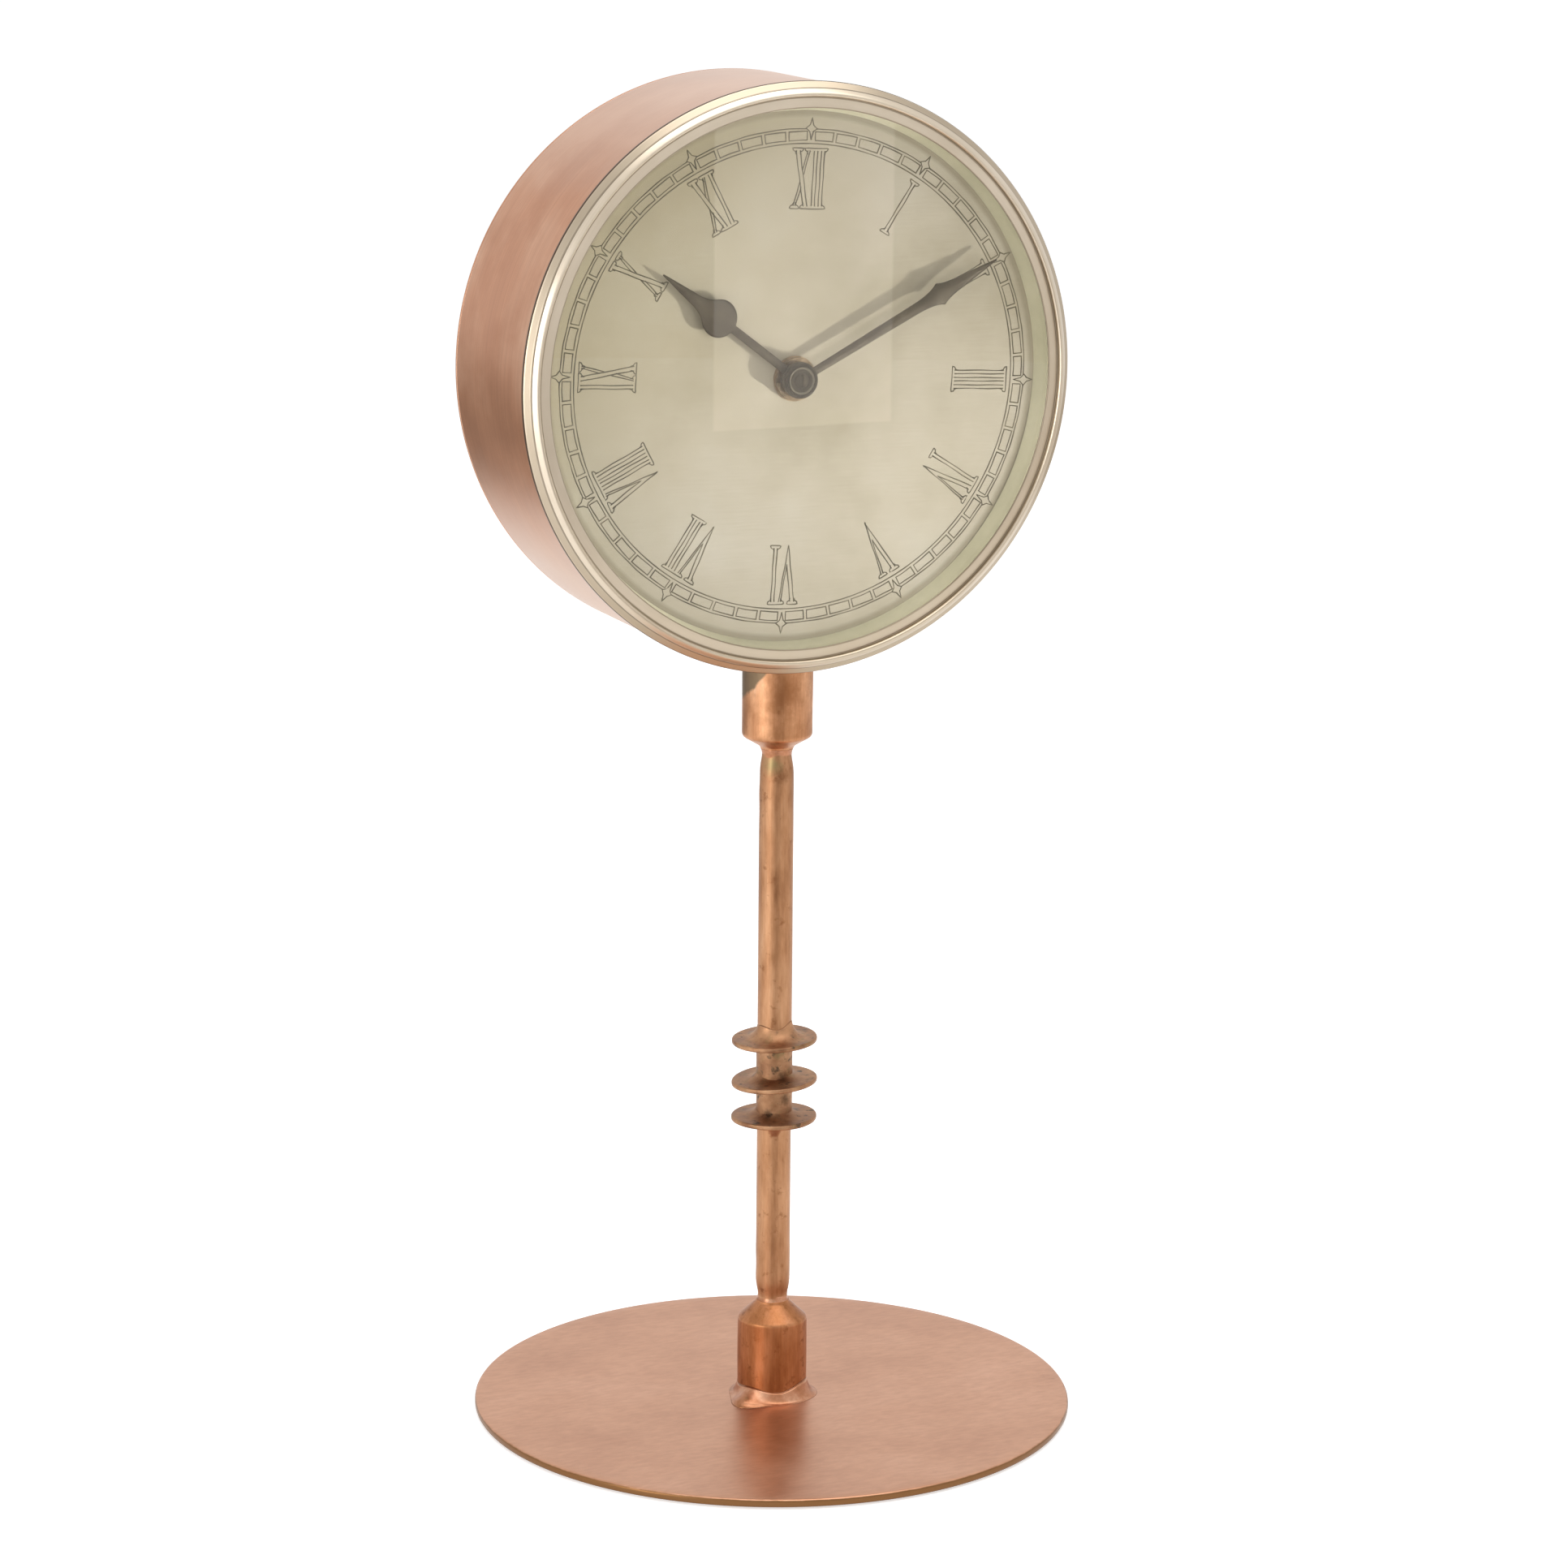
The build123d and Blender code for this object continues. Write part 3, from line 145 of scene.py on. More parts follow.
# Drawn tube and rod: clouds and hair lines run lengthwise (lines coarser than real ones, to show), soft dents
tubeGrain = {"mottle": (5, 5, 16), "mottleRough": 0.6, "streak": (0.5, 0.5, 9), "streakShare": 0.3,
             "bump": (0.10, 0.05), "dent": (0.12, 0.3)}
looks = {
    # spun copper, lacquered satin: pink-brown, cloudy, with a painted pale sheen at top and bottom and a
    # painted shade line at its front edge; turning marks 0.5 mm apart, coarser than real ones, to show
    "satin_copper": {
        "colours": [(0.25, "#B27A5A"), (0.5, "#C48F6F"), (0.75, "#D6AD92")], "mottle": 45,
        "streak": (40, 0.5, 40), "streakShare": 0.25, "roughness": (0.34, 0.46), "bump": (0.05, 0.03),
        "stains": [stain("#A8704E", 16, (0.46, 0.72), 0.4),
                   # painted pale sheen: paler over the drum's top and over its bottom
                   stain("#E2CDBE", 30, (0.2, 1.3), 0.6, where=(0, 0, 1), level=308, reach=25, ragged=0.6),
                   stain("#CDB8A8", 30, (0.2, 1.3), 0.7, where=(0, 0, -1), level=-240, reach=25, ragged=0.6),
                   # painted shade: a dark line on the drum's front edge, in the gap under the bezel
                   stain("#3E2A20", 3, (0.3, 0.8), 0.9, where=(0, -1, 0), level=11.2, reach=0.25,
                         ragged=0.3)]},
    # flat copper sheet, satin lacquer: fine grain, paler and pinker than the drum, brown at its cut edge
    "sheet_copper": {
        "colours": [(0.25, "#BC8768"), (0.5, "#CC9A7C"), (0.75, "#D5A78C")], "mottle": (40, 30, 40),
        "streak": (3.5, 1.3, 3.5), "streakShare": 0.25, "roughness": (0.30, 0.42), "bump": (0.04, 0.03),
        "stains": [stain("#7A5634", 4, (0.3, 0.9), 0.95, where=(0, 0, -1), level=-2.3, reach=0.4,
                         ragged=1.0)]},
    # bare copper rod, torch-warmed: orange with darker lengthwise clouds
    "warm_copper": {
        "colours": [(0.22, "#8C5F41"), (0.45, "#B2825E"), (0.62, "#C49570"), (0.8, "#D4AB8A")],
        **tubeGrain, "roughness": (0.34, 0.48),
        "stains": [stain("#7A4B2C", 2.6, (0.60, 0.74), 0.65),
                   stain("#857C56", 1.6, (0.6, 1.5), 0.7, spot=(-2.5, -2.8, 165.8), reach=2.8, ragged=1.4),
                   stain("#6B3F22", 1.6, (0.7, 1.6), 0.6, spot=(-0.3, -4.1, 163.0), reach=2.6, ragged=1.4),
                   stain("#7E3F26", 1.6, (0.75, 1.15), 0.7, spot=(-1.6, -4.0, 72.6), reach=2.2, ragged=1.2)]},
    # lower tube: as the rod, flushed red where it was heated longest
    "flushed_copper": {
        "colours": [(0.22, "#855231"), (0.45, "#AB7149"), (0.62, "#BE825A"), (0.8, "#CE9B76")],
        **tubeGrain, "roughness": (0.34, 0.48), "stains": [stain("#74431F", 2.6, (0.58, 0.72), 0.65)]},
    # upper tube: as the rod, with a painted shadow of the drum, a grey patch high on its left, and a dark
    # cloud
    "tube_copper_painted_shadow": {
        "colours": [(0.22, "#A36C48"), (0.45, "#C68F68"), (0.62, "#D8A27A"), (0.8, "#E4B896")],
        **tubeGrain, "roughness": (0.34, 0.46),
        "stains": [stain("#9C6A45", 4.5, (0.42, 0.66), 0.55),
                   stain("#8C5A38", 2, (0.55, 1.3), 0.6, spot=(-2.2, -8.4, 184.0), reach=5.5, ragged=1.2),
                   # painted shadow of the drum: grey past a tilted plane, high on the tube's left, towards
                   # the back
                   stain("#75644F", 3, (0.2, 0.45), 0.95, where=(-0.713, 0.316, 0.625), level=120.7,
                         reach=2.2, ragged=0.7),
                   stain("#7A4B2C", 2.2, (0.64, 0.78), 0.5)]},
    # tarnished copper discs: dull brown with dark flux spots, bright where the rod runs out over the top one
    "disc_copper": {
        "colours": [(0.25, "#825A42"), (0.5, "#A87E5E"), (0.75, "#C69C78")], "mottle": 4, "streak": 1.2,
        "streakShare": 0.3, "roughness": (0.40, 0.56), "bump": (0.14, 0.07),
        "stains": [stain("#7C7550", 3.4, (0.55, 0.74), 0.55), stain("#4A4034", 2.4, (0.58, 0.68), 0.85),
                   stain("#C0906A", 2, (0.35, 0.75), 0.8, spot=(0, 0, 98.6), reach=7.5, ragged=0.5)]
                  + [stain("#3A2C20", 0.9, (0.55, 1.6), 0.75, spot=spot, reach=wide, ragged=1.4)
                     for spot, wide in (((4.6, 2.2, 97.2), 2.0), ((0.3, -4.8, 86.6), 1.6),
                                        ((-3.4, -3.3, 77.0), 1.6), ((5.9, 0.5, 76.4), 1.9),
                                        ((1.2, -4.6, 80.6), 1.8))]},
    # brazing metal as it froze: lumpy, golden where bare, brown and greenish where flux stayed
    "braze": {
        "colours": [(0.25, "#96623F"), (0.5, "#BA8262"), (0.72, "#D2A284")], "mottle": 4, "streak": 0.8,
        "streakShare": 0.25, "roughness": (0.29, 0.42), "bump": (0.10, 0.05),
        "stains": [stain("#6F6A4C", 3, (0.6, 0.75), 0.6)]},
    # pressed wool felt: dull, fibres drawn coarse enough to show
    "felt": {
        "colours": [(0.3, "#2E2A26"), (0.7, "#4A443D")], "mottle": 2, "streak": 0.25, "streakShare": 0.6,
        "roughness": (0.9, 1.0), "bump": (0.8, 0.2), "metallic": 0.0, "sockets": {"Sheen Weight": 0.3}},
    # etched brass dial, silvered to champagne: satin, cloudy, faint brushing drawn coarse enough to show;
    # painted shade darkens it to the upper left and in a band under the inner ring
    "champagne_metal": {
        "colours": [(0.28, "#9C937C"), (0.5, "#AFA692"), (0.72, "#BAB3A2")], "mottle": 38,
        "streak": (9, 9, 0.35), "streakShare": 0.12, "roughness": (0.44, 0.52), "bump": (0.02, 0.02),
        "metallic": 0.15,
        # painted shade: browner towards the upper left
        "stains": [stain("#968B6C", 30, (0.2, 1.4), 0.65, where=(-0.8, 0, 0.6), level=168, reach=40,
                         ragged=0.9),
                   # painted shade: a band round the dial's edge, under the inner ring
                   stain("#7C745C", 4, (0.2, 0.9), 0.6, ring=63.6, reach=1.6, ragged=0.3)]},
    # turned nickel brass bezel: bright warm white, with painted shade on its flange, in its grooves, over its
    # lower part and in a line behind its rim; turning lines 0.25 mm apart, coarser than real ones, to show
    "bezel_metal": {
        "colours": [(0.3, "#CBBDA8"), (0.7, "#DCCFBD")], "mottle": 30, "streak": (25, 0.25, 25),
        "streakShare": 0.12, "roughness": (0.29, 0.36), "bump": (0.03, 0.02),
        # painted shade: the flange dimmed
        "stains": [stain("#9C8C76", 12, (0.0, 0.6), 0.6, ring=70.5, reach=0.75, ragged=0.5),
                   # painted shade: darker over the lower part
                   stain("#A8987E", 12, (0.2, 1.2), 0.5, where=(0, 0, -1), level=-222, reach=30, ragged=0.4),
                   # painted shade in the groove, the quirk and along the inner edge
                   stain("#6A5E4E", 3, (0.3, 0.7), 0.6, ring=69.75, reach=0.2, ragged=0.3),
                   stain("#6A5B48", 3, (0.3, 0.7), 0.6, ring=67.55, reach=0.32, ragged=0.3),
                   stain("#6A5B48", 3, (0.3, 0.7), 0.55, ring=65.05, reach=0.35, ragged=0.3),
                   # painted shade: a dark line behind the rim, over the gap to the drum
                   stain("#46301C", 3, (0.3, 0.8), 0.95, where=(0, 1, 0), level=-13.05, reach=0.2,
                         ragged=0.3)]},
    # moulded inner ring in olive beige: soft sheen, slight orange peel
    "rehaut_plastic": {
        "colours": [(0.3, "#C4BF9F"), (0.7, "#D6D0B2")], "mottle": 18, "streak": 1.5, "streakShare": 0.1,
        "roughness": (0.34, 0.44), "bump": (0.05, 0.03), "metallic": 0.0},
    # blackened brass hands: gunmetal with brown lights
    "hand_metal": {
        "colours": [(0.3, "#3F392F"), (0.55, "#524B3F"), (0.75, "#645C4D")], "mottle": 7, "streak": 1.2,
        "streakShare": 0.25, "roughness": (0.34, 0.5), "bump": (0.06, 0.03), "metallic": 0.75},
    # cap nut on the hands: the same blackening, darker in rings at 3.6 and 1.9 mm, paler in a ring at 3.05 mm
    "cap_metal": {
        "colours": [(0.3, "#28241C"), (0.55, "#403A2F"), (0.75, "#585042")], "mottle": 2.4, "streak": 0.8,
        "streakShare": 0.3, "roughness": (0.34, 0.5), "bump": (0.08, 0.04), "metallic": 0.75,
        "stains": [stain("#221D16", 1.2, (0.2, 0.8), 0.8, ring=3.6, reach=0.3, ragged=0.6),
                   stain("#8A8270", 1.2, (0.2, 0.8), 0.5, ring=3.05, reach=0.3, ragged=0.6),
                   stain("#221D16", 1.2, (0.3, 0.9), 0.6, ring=1.9, reach=0.35, ragged=0.9)]},
    # acid-darkened line of the engraving: grey brown, uneven in depth
    "etched_line": {
        "colours": [(0.3, "#4E4838"), (0.55, "#68614D"), (0.75, "#857D66")], "mottle": 5, "streak": 0.6,
        "streakShare": 0.3, "roughness": (0.6, 0.75), "bump": (0.05, 0.03), "metallic": 0.2},
    # turned brass: yellow, lathe lines drawn coarse enough to show
    "bright_brass": {
        "colours": [(0.3, "#B08A4A"), (0.7, "#D0AC68")], "mottle": 8, "streak": (6, 0.3, 6),
        "streakShare": 0.25, "roughness": (0.29, 0.38), "bump": (0.05, 0.03)},
    # nickelled brass nut and washer under the hands: pale gold, browned where tools rubbed
    "nut_brass": {
        "colours": [(0.3, "#7E6C54"), (0.7, "#BCA78A")], "mottle": 2.5, "streak": (4, 0.25, 4),
        "streakShare": 0.35, "roughness": (0.29, 0.36), "bump": (0.05, 0.03)},
    # moulded black ABS: spark-eroded grain, drawn coarse enough to show
    "black_plastic": {
        "colours": [(0.3, "#1C1C1D"), (0.7, "#29292A")], "mottle": 15, "streak": 0.5, "streakShare": 0.3,
        "roughness": (0.42, 0.55), "bump": (0.2, 0.06), "metallic": 0.0},
    # moulded white acetal: slightly waxy
    "white_plastic": {
        "colours": [(0.3, "#DAD8CE"), (0.7, "#E9E7DF")], "mottle": 10, "streak": 0.6, "streakShare": 0.1,
        "roughness": (0.36, 0.46), "bump": (0.06, 0.03), "metallic": 0.0},
    # pressed steel, zinc bright: cool grey, rolling lines drawn coarse enough to show
    "bright_steel": {
        "colours": [(0.3, "#9C9D9E"), (0.7, "#C0C1C2")], "mottle": 6, "streak": (0.4, 0.4, 6),
        "streakShare": 0.25, "roughness": (0.29, 0.38), "bump": (0.05, 0.03)},
    # sintered magnet: dark grey, faint grain
    "magnet": {
        "colours": [(0.3, "#3A3A3D"), (0.7, "#55565A")], "mottle": 2, "streak": 0.3, "streakShare": 0.3,
        "roughness": (0.4, 0.55), "bump": (0.1, 0.03), "metallic": 0.8},
    # enamelled copper wire: turns lie across the coil, drawn thicker than real ones to show
    "enamel_wire": {
        "colours": [(0.3, "#8A3E1C"), (0.7, "#B25A2C")], "mottle": 6, "streak": (0.25, 6, 6),
        "streakShare": 0.5, "roughness": (0.29, 0.36), "bump": (0.4, 0.08), "metallic": 0.7},
    # glass-epoxy board with green solder mask: even gloss over a faint weave
    "board_laminate": {
        "colours": [(0.3, "#2C5A34"), (0.7, "#3B6E40")], "mottle": 9, "streak": 0.4, "streakShare": 0.25,
        "roughness": (0.3, 0.42), "bump": (0.1, 0.03), "metallic": 0.0},
    # printed shrink sleeve of a dry cell: dark body, gold shoulder at the positive end
    "cell_sleeve": {
        "colours": [(0.3, "#2A2C30"), (0.7, "#34373C")], "mottle": 12, "streak": 0.5, "streakShare": 0.15,
        "roughness": (0.29, 0.36), "bump": (0.04, 0.02), "metallic": 0.0,
        "stains": [stain("#B58A3E", 60, (0.0, 0.3), 1.0, where=(1, 0, 0), level=12, reach=0.3, ragged=0.0)]},
}
finishes = {name: makeFinish(name, look) for name, look in looks.items()}


# Float glass: clear, polished, lets lamp and bounced light straight through to the dial
def makeGlass(name):
    material = bpy.data.materials.new(name)
    material.use_nodes = True
    tree = material.node_tree
    shader = tree.nodes["Principled BSDF"]
    shader.inputs["Base Color"].default_value = linear("#FEFEFD")
    shader.inputs["Transmission Weight"].default_value = 1.0
    shader.inputs["Roughness"].default_value = 0.0
    shader.inputs["IOR"].default_value = 1.5
    ray = addNode(tree, "LightPath")
    passing = addNode(tree, "Math", {0: (ray, "Is Shadow Ray"), 1: (ray, "Is Diffuse Ray")},
                      operation="MAXIMUM")
    clear = addNode(tree, "BsdfTransparent", {"Color": linear("#FEFEFD")})
    mixed = addNode(tree, "MixShader", {"Fac": (passing, "Value"), 1: (shader, "BSDF"),
                    2: (clear, "BSDF")})
    tree.links.new(mixed.outputs["Shader"], tree.nodes["Material Output"].inputs["Surface"])
    return material


finishes["clear_glass"] = makeGlass("clear_glass")
print("stage 2:", len(finishes), "finishes made")


# Mesh from arrays of points and quads: doubles merged at poles, normals turned outwards
def makePiece(name, points, quads, finish, body, nodes=(), slot=None):
    mesh = bpy.data.meshes.new(name)
    points = np.asarray(points, float).reshape(-1, 3) * mm
    quads = np.asarray(quads, int).reshape(-1, 4)
    mesh.vertices.add(len(points))
    mesh.vertices.foreach_set("co", points.astype(np.float32).ravel())
    mesh.loops.add(quads.size)
    mesh.loops.foreach_set("vertex_index", quads.ravel())
    mesh.polygons.add(len(quads))
    mesh.polygons.foreach_set("loop_start", np.arange(0, quads.size, 4))
    mesh.polygons.foreach_set("use_smooth", np.ones(len(quads), bool))
    mesh.update(calc_edges=True)
    work = bmesh.new()
    work.from_mesh(mesh)
    bmesh.ops.remove_doubles(work, verts=work.verts, dist=1e-6)
    bmesh.ops.recalc_face_normals(work, faces=work.faces)
    work.to_mesh(mesh)
    work.free()
    mesh.materials.append(finishes[finish])
    piece = bpy.data.objects.new(name, mesh)
    bpy.context.scene.collection.objects.link(piece)
    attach(piece, body)
    if nodes:
        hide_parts(*nodes)
    return piece


# Quads of a grid with rows x columns points, joined round in either direction on request
def gridQuads(rows, columns, roundRows, roundColumns):
    i = np.arange(rows if roundRows else rows - 1)[:, None]
    j = np.arange(columns if roundColumns else columns - 1)[None, :]
    down, across = (i + 1) % rows, (j + 1) % columns
    corners = [i * columns + j, i * columns + across, down * columns + across, down * columns + j]
    return np.stack([np.broadcast_to(c, (i.size, j.size)) for c in corners], -1).reshape(-1, 4)


# Corners rounded by a quadratic curve that leaves each side a radius before the corner
def softCorners(corners, radius, closed, steps=5):
    p = np.asarray(corners, float)
    before, after = np.roll(p, 1, 0) - p, np.roll(p, -1, 0) - p
    lengths = [np.linalg.norm(d, axis=1, keepdims=True) for d in (before, after)]
    radius = np.broadcast_to(np.asarray(radius, float).reshape(-1, 1), (len(p), 1))
    cut = [np.minimum(radius, 0.45 * n) for n in lengths]
    first, last = p + before / lengths[0] * cut[0], p + after / lengths[1] * cut[1]
    t = np.linspace(0, 1, steps)[None, :, None]
    curve = (1 - t) ** 2 * first[:, None] + 2 * t * (1 - t) * p[:, None] + t ** 2 * last[:, None]
    if closed:
        return curve.reshape(-1, 2)
    return np.concatenate([p[:1], curve[1:-1].reshape(-1, 2), p[-1:]])


# Points put in along a line so that no step is longer than the given length
def fineSteps(points, step, closed):
    p = np.concatenate([points, points[:1]]) if closed else points
    run = np.concatenate([[0], np.cumsum(np.linalg.norm(np.diff(p, axis=0), axis=1))])
    extra = np.arange(0, run[-1], step)
    keep = np.unique(np.concatenate([run, extra]).round(5))
    fine = np.stack([np.interp(keep, run, p[:, k]) for k in (0, 1)], -1)
    return fine[:-1] if closed else fine


# Sum of sines round and along a form, with seeded phases: smooth lumps that close on themselves
def lumps(theta, along, waves, pitch, seed):
    draw = np.random.default_rng(seed)
    total = np.zeros(np.broadcast(theta, along).shape)
    for wave in waves:
        phase, lean = draw.uniform(0, fullTurn), draw.uniform(-1, 1)
        total = total + np.sin(wave * theta + lean * along * fullTurn / pitch + phase) / len(waves)
    return total


# A profile of radius and height turned about the stand's upright axis: x = r cos t, y = r sin t
def turnStand(profile, segments, shape=None):
    theta = np.linspace(0, fullTurn, segments, endpoint=False)[:, None]
    radius, height = profile[None, :, 0], profile[None, :, 1]
    if shape:
        radius, height = shape(radius, height, theta)
    x, y = radius * np.cos(theta), radius * np.sin(theta)
    return np.stack([x, y, np.broadcast_to(height, x.shape)], -1)


# A profile of radius and front distance turned about the head's axis: x = r sin t, z = head + r cos t
def turnHead(profile, segments, shape=None):
    theta = np.linspace(0, fullTurn, segments, endpoint=False)[:, None]
    radius, front = profile[None, :, 0], profile[None, :, 1]
    if shape:
        radius, front = shape(radius, front, theta)
    x, z = radius * np.sin(theta), headHeight + radius * np.cos(theta)
    return np.stack([x, np.broadcast_to(-front, x.shape), z], -1)


# A turned piece: corners rounded, steps made fine, then turned and put on its body
def turned(name, turn, corners, finish, nodes, slot, body="stand_and_case", rounding=0.3, step=3.0,
           segments=192, closed=True, shape=None):
    profile = fineSteps(softCorners(corners, rounding, closed), step, closed)
    grid = turn(profile, segments, shape)
    return makePiece(name, grid, gridQuads(segments, len(profile), True, closed), finish, body, nodes, slot)


# Corners of a plain section: inner and outer radius, low and high end
def slab(inner, outer, low, high):
    return [(inner, low), (outer, low), (outer, high), (inner, high)]


# A brazed bead: closed profile turned about the stem, its lumps left as they froze
def brazed(name, profile, segments, shape, node):
    makePiece(name, turnStand(profile, segments, shape), gridQuads(segments, len(profile), True, True),
              "braze", "stand_and_case", [node], "braze")


# Base: spun disc with a rolled edge, its top a little out of true. Lumps: waves round, pitch in mm, seed.
base = {"radius": 75.0, "bottom": 0.5, "top": 2.5, "hole": 5.05, "edge": 0.75, "waver": 0.06,
        "lumps": ((1, 2, 3, 5), 90.0, 3)}


# Top wavers by lumps times (radius / full radius) squared; underside flat
def baseShape(radius, height, theta):
    waver = base["waver"] * lumps(theta, radius, *base["lumps"]) * (radius / base["radius"]) ** 2
    return radius, height - 0.5 * base["waver"] + waver * (height > base["bottom"] + 1)


turned("baseDisc", turnStand, slab(base["hole"], base["radius"], base["bottom"], base["top"]),
       "sheet_copper", ["base_plate"], "satin_copper", rounding=base["edge"], step=2.5, segments=256,
       shape=baseShape)

# Lower tube: straight wall, worn shoulder, cone drawn in to the rod
lowerTube = {"radius": 8.7, "top": 22.8, "neckTop": 27.4, "neck": 4.1, "lip": (0.25, 0.6), "bore": 3.9,
             "seat": 8.8, "spigot": 5.0, "worn": 0.10, "lumps": ((2, 3, 5), 14.0, 5)}


# Wall worn in shallow lumps, while the bore stays true
def wornRadius(tube, radius, height, theta):
    worn = tube["worn"] * lumps(theta, height, *tube["lumps"])
    return radius + worn * np.clip(radius - tube["bore"], 0, 1)


# Radius worn, height kept
def lowerShape(radius, height, theta):
    return wornRadius(lowerTube, radius, height, theta), height


turned("lowerTube", turnStand,
       [(0, base["bottom"]), (lowerTube["spigot"], base["bottom"]), (lowerTube["spigot"], base["top"]),
        (lowerTube["radius"], base["top"]), (lowerTube["radius"], lowerTube["top"]),
        (lowerTube["neck"] + lowerTube["lip"][0], lowerTube["neckTop"] - lowerTube["lip"][1]),
        (lowerTube["neck"], lowerTube["neckTop"]), (lowerTube["bore"], lowerTube["neckTop"]),
        (lowerTube["bore"], lowerTube["seat"]), (0, lowerTube["seat"])],
       "flushed_copper", ["lower_socket"], "warm_copper", rounding=0.5, step=0.8, segments=128, closed=False,
       shape=lowerShape)

# Brazed foot: metal frozen round the tube, fuller at the left front. Lobes: place, tightness, gain.
footBead = {"inner": 8.72, "width": 1.9, "height": 4.4, "steep": 3, "spread": 1.1, "ripple": 0.1, "rise": 0.8,
            "lump": 0.3, "hump": 0.8, "rippleLumps": ((2, 3, 5), 9.0, 24), "riseLumps": ((1, 2, 4), 9.0, 8),
            "lobes": [(math.radians(212), 14.0, 2.0), (math.radians(332), 5.0, 0.3)]}


# Lobe = gain times e to the power tightness (cos t - 1); it widens the bead and humps its middle
def footShape(radius, height, theta):
    lobe = sum(gain * np.exp(tight * (np.cos(theta - at) - 1)) for at, tight, gain in footBead["lobes"])
    ripple = footBead["ripple"] * lumps(theta, 0 * height, *footBead["rippleLumps"])
    full = np.clip((radius - footBead["inner"]) / footBead["width"], 0, 1)
    lump = footBead["lump"] * lumps(theta, 0 * height, *footBead["riseLumps"])
    rise = (height - base["top"]) * (footBead["rise"] + lump)
    rise = rise + footBead["hump"] * lobe * 4 * full * (1 - full) * (height > base["top"] + 0.01)
    wide = footBead["spread"] + lobe + ripple
    return footBead["inner"] + full * footBead["width"] * wide, base["top"] + rise


footEdge = np.linspace(0, 1, 12)
footCurve = np.stack([footBead["inner"] + footBead["width"] * (1 - footEdge),
                      base["top"] + footBead["height"] * footEdge ** footBead["steep"]], -1)
brazed("footBead", np.concatenate([[(footBead["inner"], base["top"])], footCurve]), 128, footShape,
       "foot_braze")

# Rod: drawn thin at both necks where the torch softened it. Pinches and swells: height, reach, depth.
rod = {"radius": 4.3, "bottom": 8.8, "top": 183.6, "waver": 0.04, "lumps": ((1, 2, 3), 40.0, 32),
       "pinches": [(168.4, 3.0, 0.62), (28.4, 2.6, 0.6)],
       "swells": [(160.0, 7.0, 0.10), (37.0, 5.0, 0.12)], "swellLumps": ((1, 2, 4), 9.0, 31)}


# Each pinch or swell fades as a bell curve, e to the power -(height / reach) squared
def rodShape(radius, height, theta):
    change = rod["waver"] * (lumps(theta, height, *rod["lumps"]) - 1)
    for level, reach, depth in rod["pinches"]:
        change = change - depth * np.exp(-((height - level) / reach) ** 2)
    for level, reach, depth in rod["swells"]:
        swell = depth * lumps(theta, height, *rod["swellLumps"])
        change = change + swell * np.exp(-((height - level) / reach) ** 2)
    return radius * (1 + np.minimum(change, 0) / rod["radius"]), height


turned("stemRod", turnStand, slab(0, rod["radius"], rod["bottom"], rod["top"]), "warm_copper", ["stem_rod"],
       "warm_copper", rounding=0.3, step=1.0, segments=96, closed=False, shape=rodShape)

# Three washers threaded on the rod, each knocked over a little
discs = {"radius": 10.7, "edgeGap": 0.1, "thickness": 1.2, "bore": 4.35, "waver": 0.12, "uneven": 0.012,
         "unevenFrom": 9, "heights": {"lower": 75.2, "middle": 84.7, "upper": 95.3},
         "tilts": {"lower": 1.0, "middle": 3.6, "upper": 3.2},
         "fillets": {"lower": 2.8, "middle": 2.8, "upper": 5.4}, "filletReach": 3.8, "filletMean": 0.65,
         "filletLump": 0.35, "dishLumps": ((1, 2, 3), 12.0), "filletLumps": ((1, 2, 3), 9.0),
         "edgeLumps": ((2, 3), 9.0), "seeds": {"dish": 40, "fillet": 50, "edge": 60}}


# Height = dish + quarter-circle fillet against the rod + lean; the edge is slightly out of round
def discShape(which, number, radius, height, theta):
    dish = lumps(theta, radius, *discs["dishLumps"], discs["seeds"]["dish"] + number)
    dish = discs["waver"] * dish * (radius / discs["radius"]) ** 2
    inward = np.clip(1 - (radius - discs["bore"]) / discs["filletReach"], 0, 1)
    fillet = (1 - np.sqrt(1 - inward ** 2)) * (height > 0) * discs["fillets"][which]
    lump = lumps(theta, 0 * radius, *discs["filletLumps"], discs["seeds"]["fillet"] + number)
    fillet = fillet * (discs["filletMean"] + discs["filletLump"] * lump)
    edge = discs["uneven"] * lumps(theta, 0 * radius, *discs["edgeLumps"], discs["seeds"]["edge"] + number)
    lean = math.tan(math.radians(discs["tilts"][which]))
    return (radius * (1 + edge * (radius > discs["unevenFrom"])),
            discs["heights"][which] + height + dish + fillet + lean * radius * np.cos(theta))


half = discs["thickness"] / 2
for number, which in enumerate(discs["heights"]):
    turned("stemDisc_" + which, turnStand,
           slab(discs["bore"], discs["radius"] - discs["edgeGap"], -half, half), "disc_copper",
           ["stem_disc_" + which], "warm_copper", rounding=0.45, step=0.5, segments=96,
           shape=partial(discShape, which, number))

# Short collars between the discs
collar = {"wall": 0.25, "waist": 0.18, "waver": 0.05, "lumps": ((1, 2, 3), 16.0, 71)}


# Lean changes with height in proportion, from the disc below to the one above
def collarShape(low, high, leans, radius, height, theta):
    share = (height - low) / (high - low)
    tilt = (leans[0] + (leans[1] - leans[0]) * share) * radius * np.cos(theta)
    waver = collar["waver"] * (lumps(theta, height, *collar["lumps"]) - 1)
    return radius + waver * (radius > discs["bore"] + 0.1), height + tilt


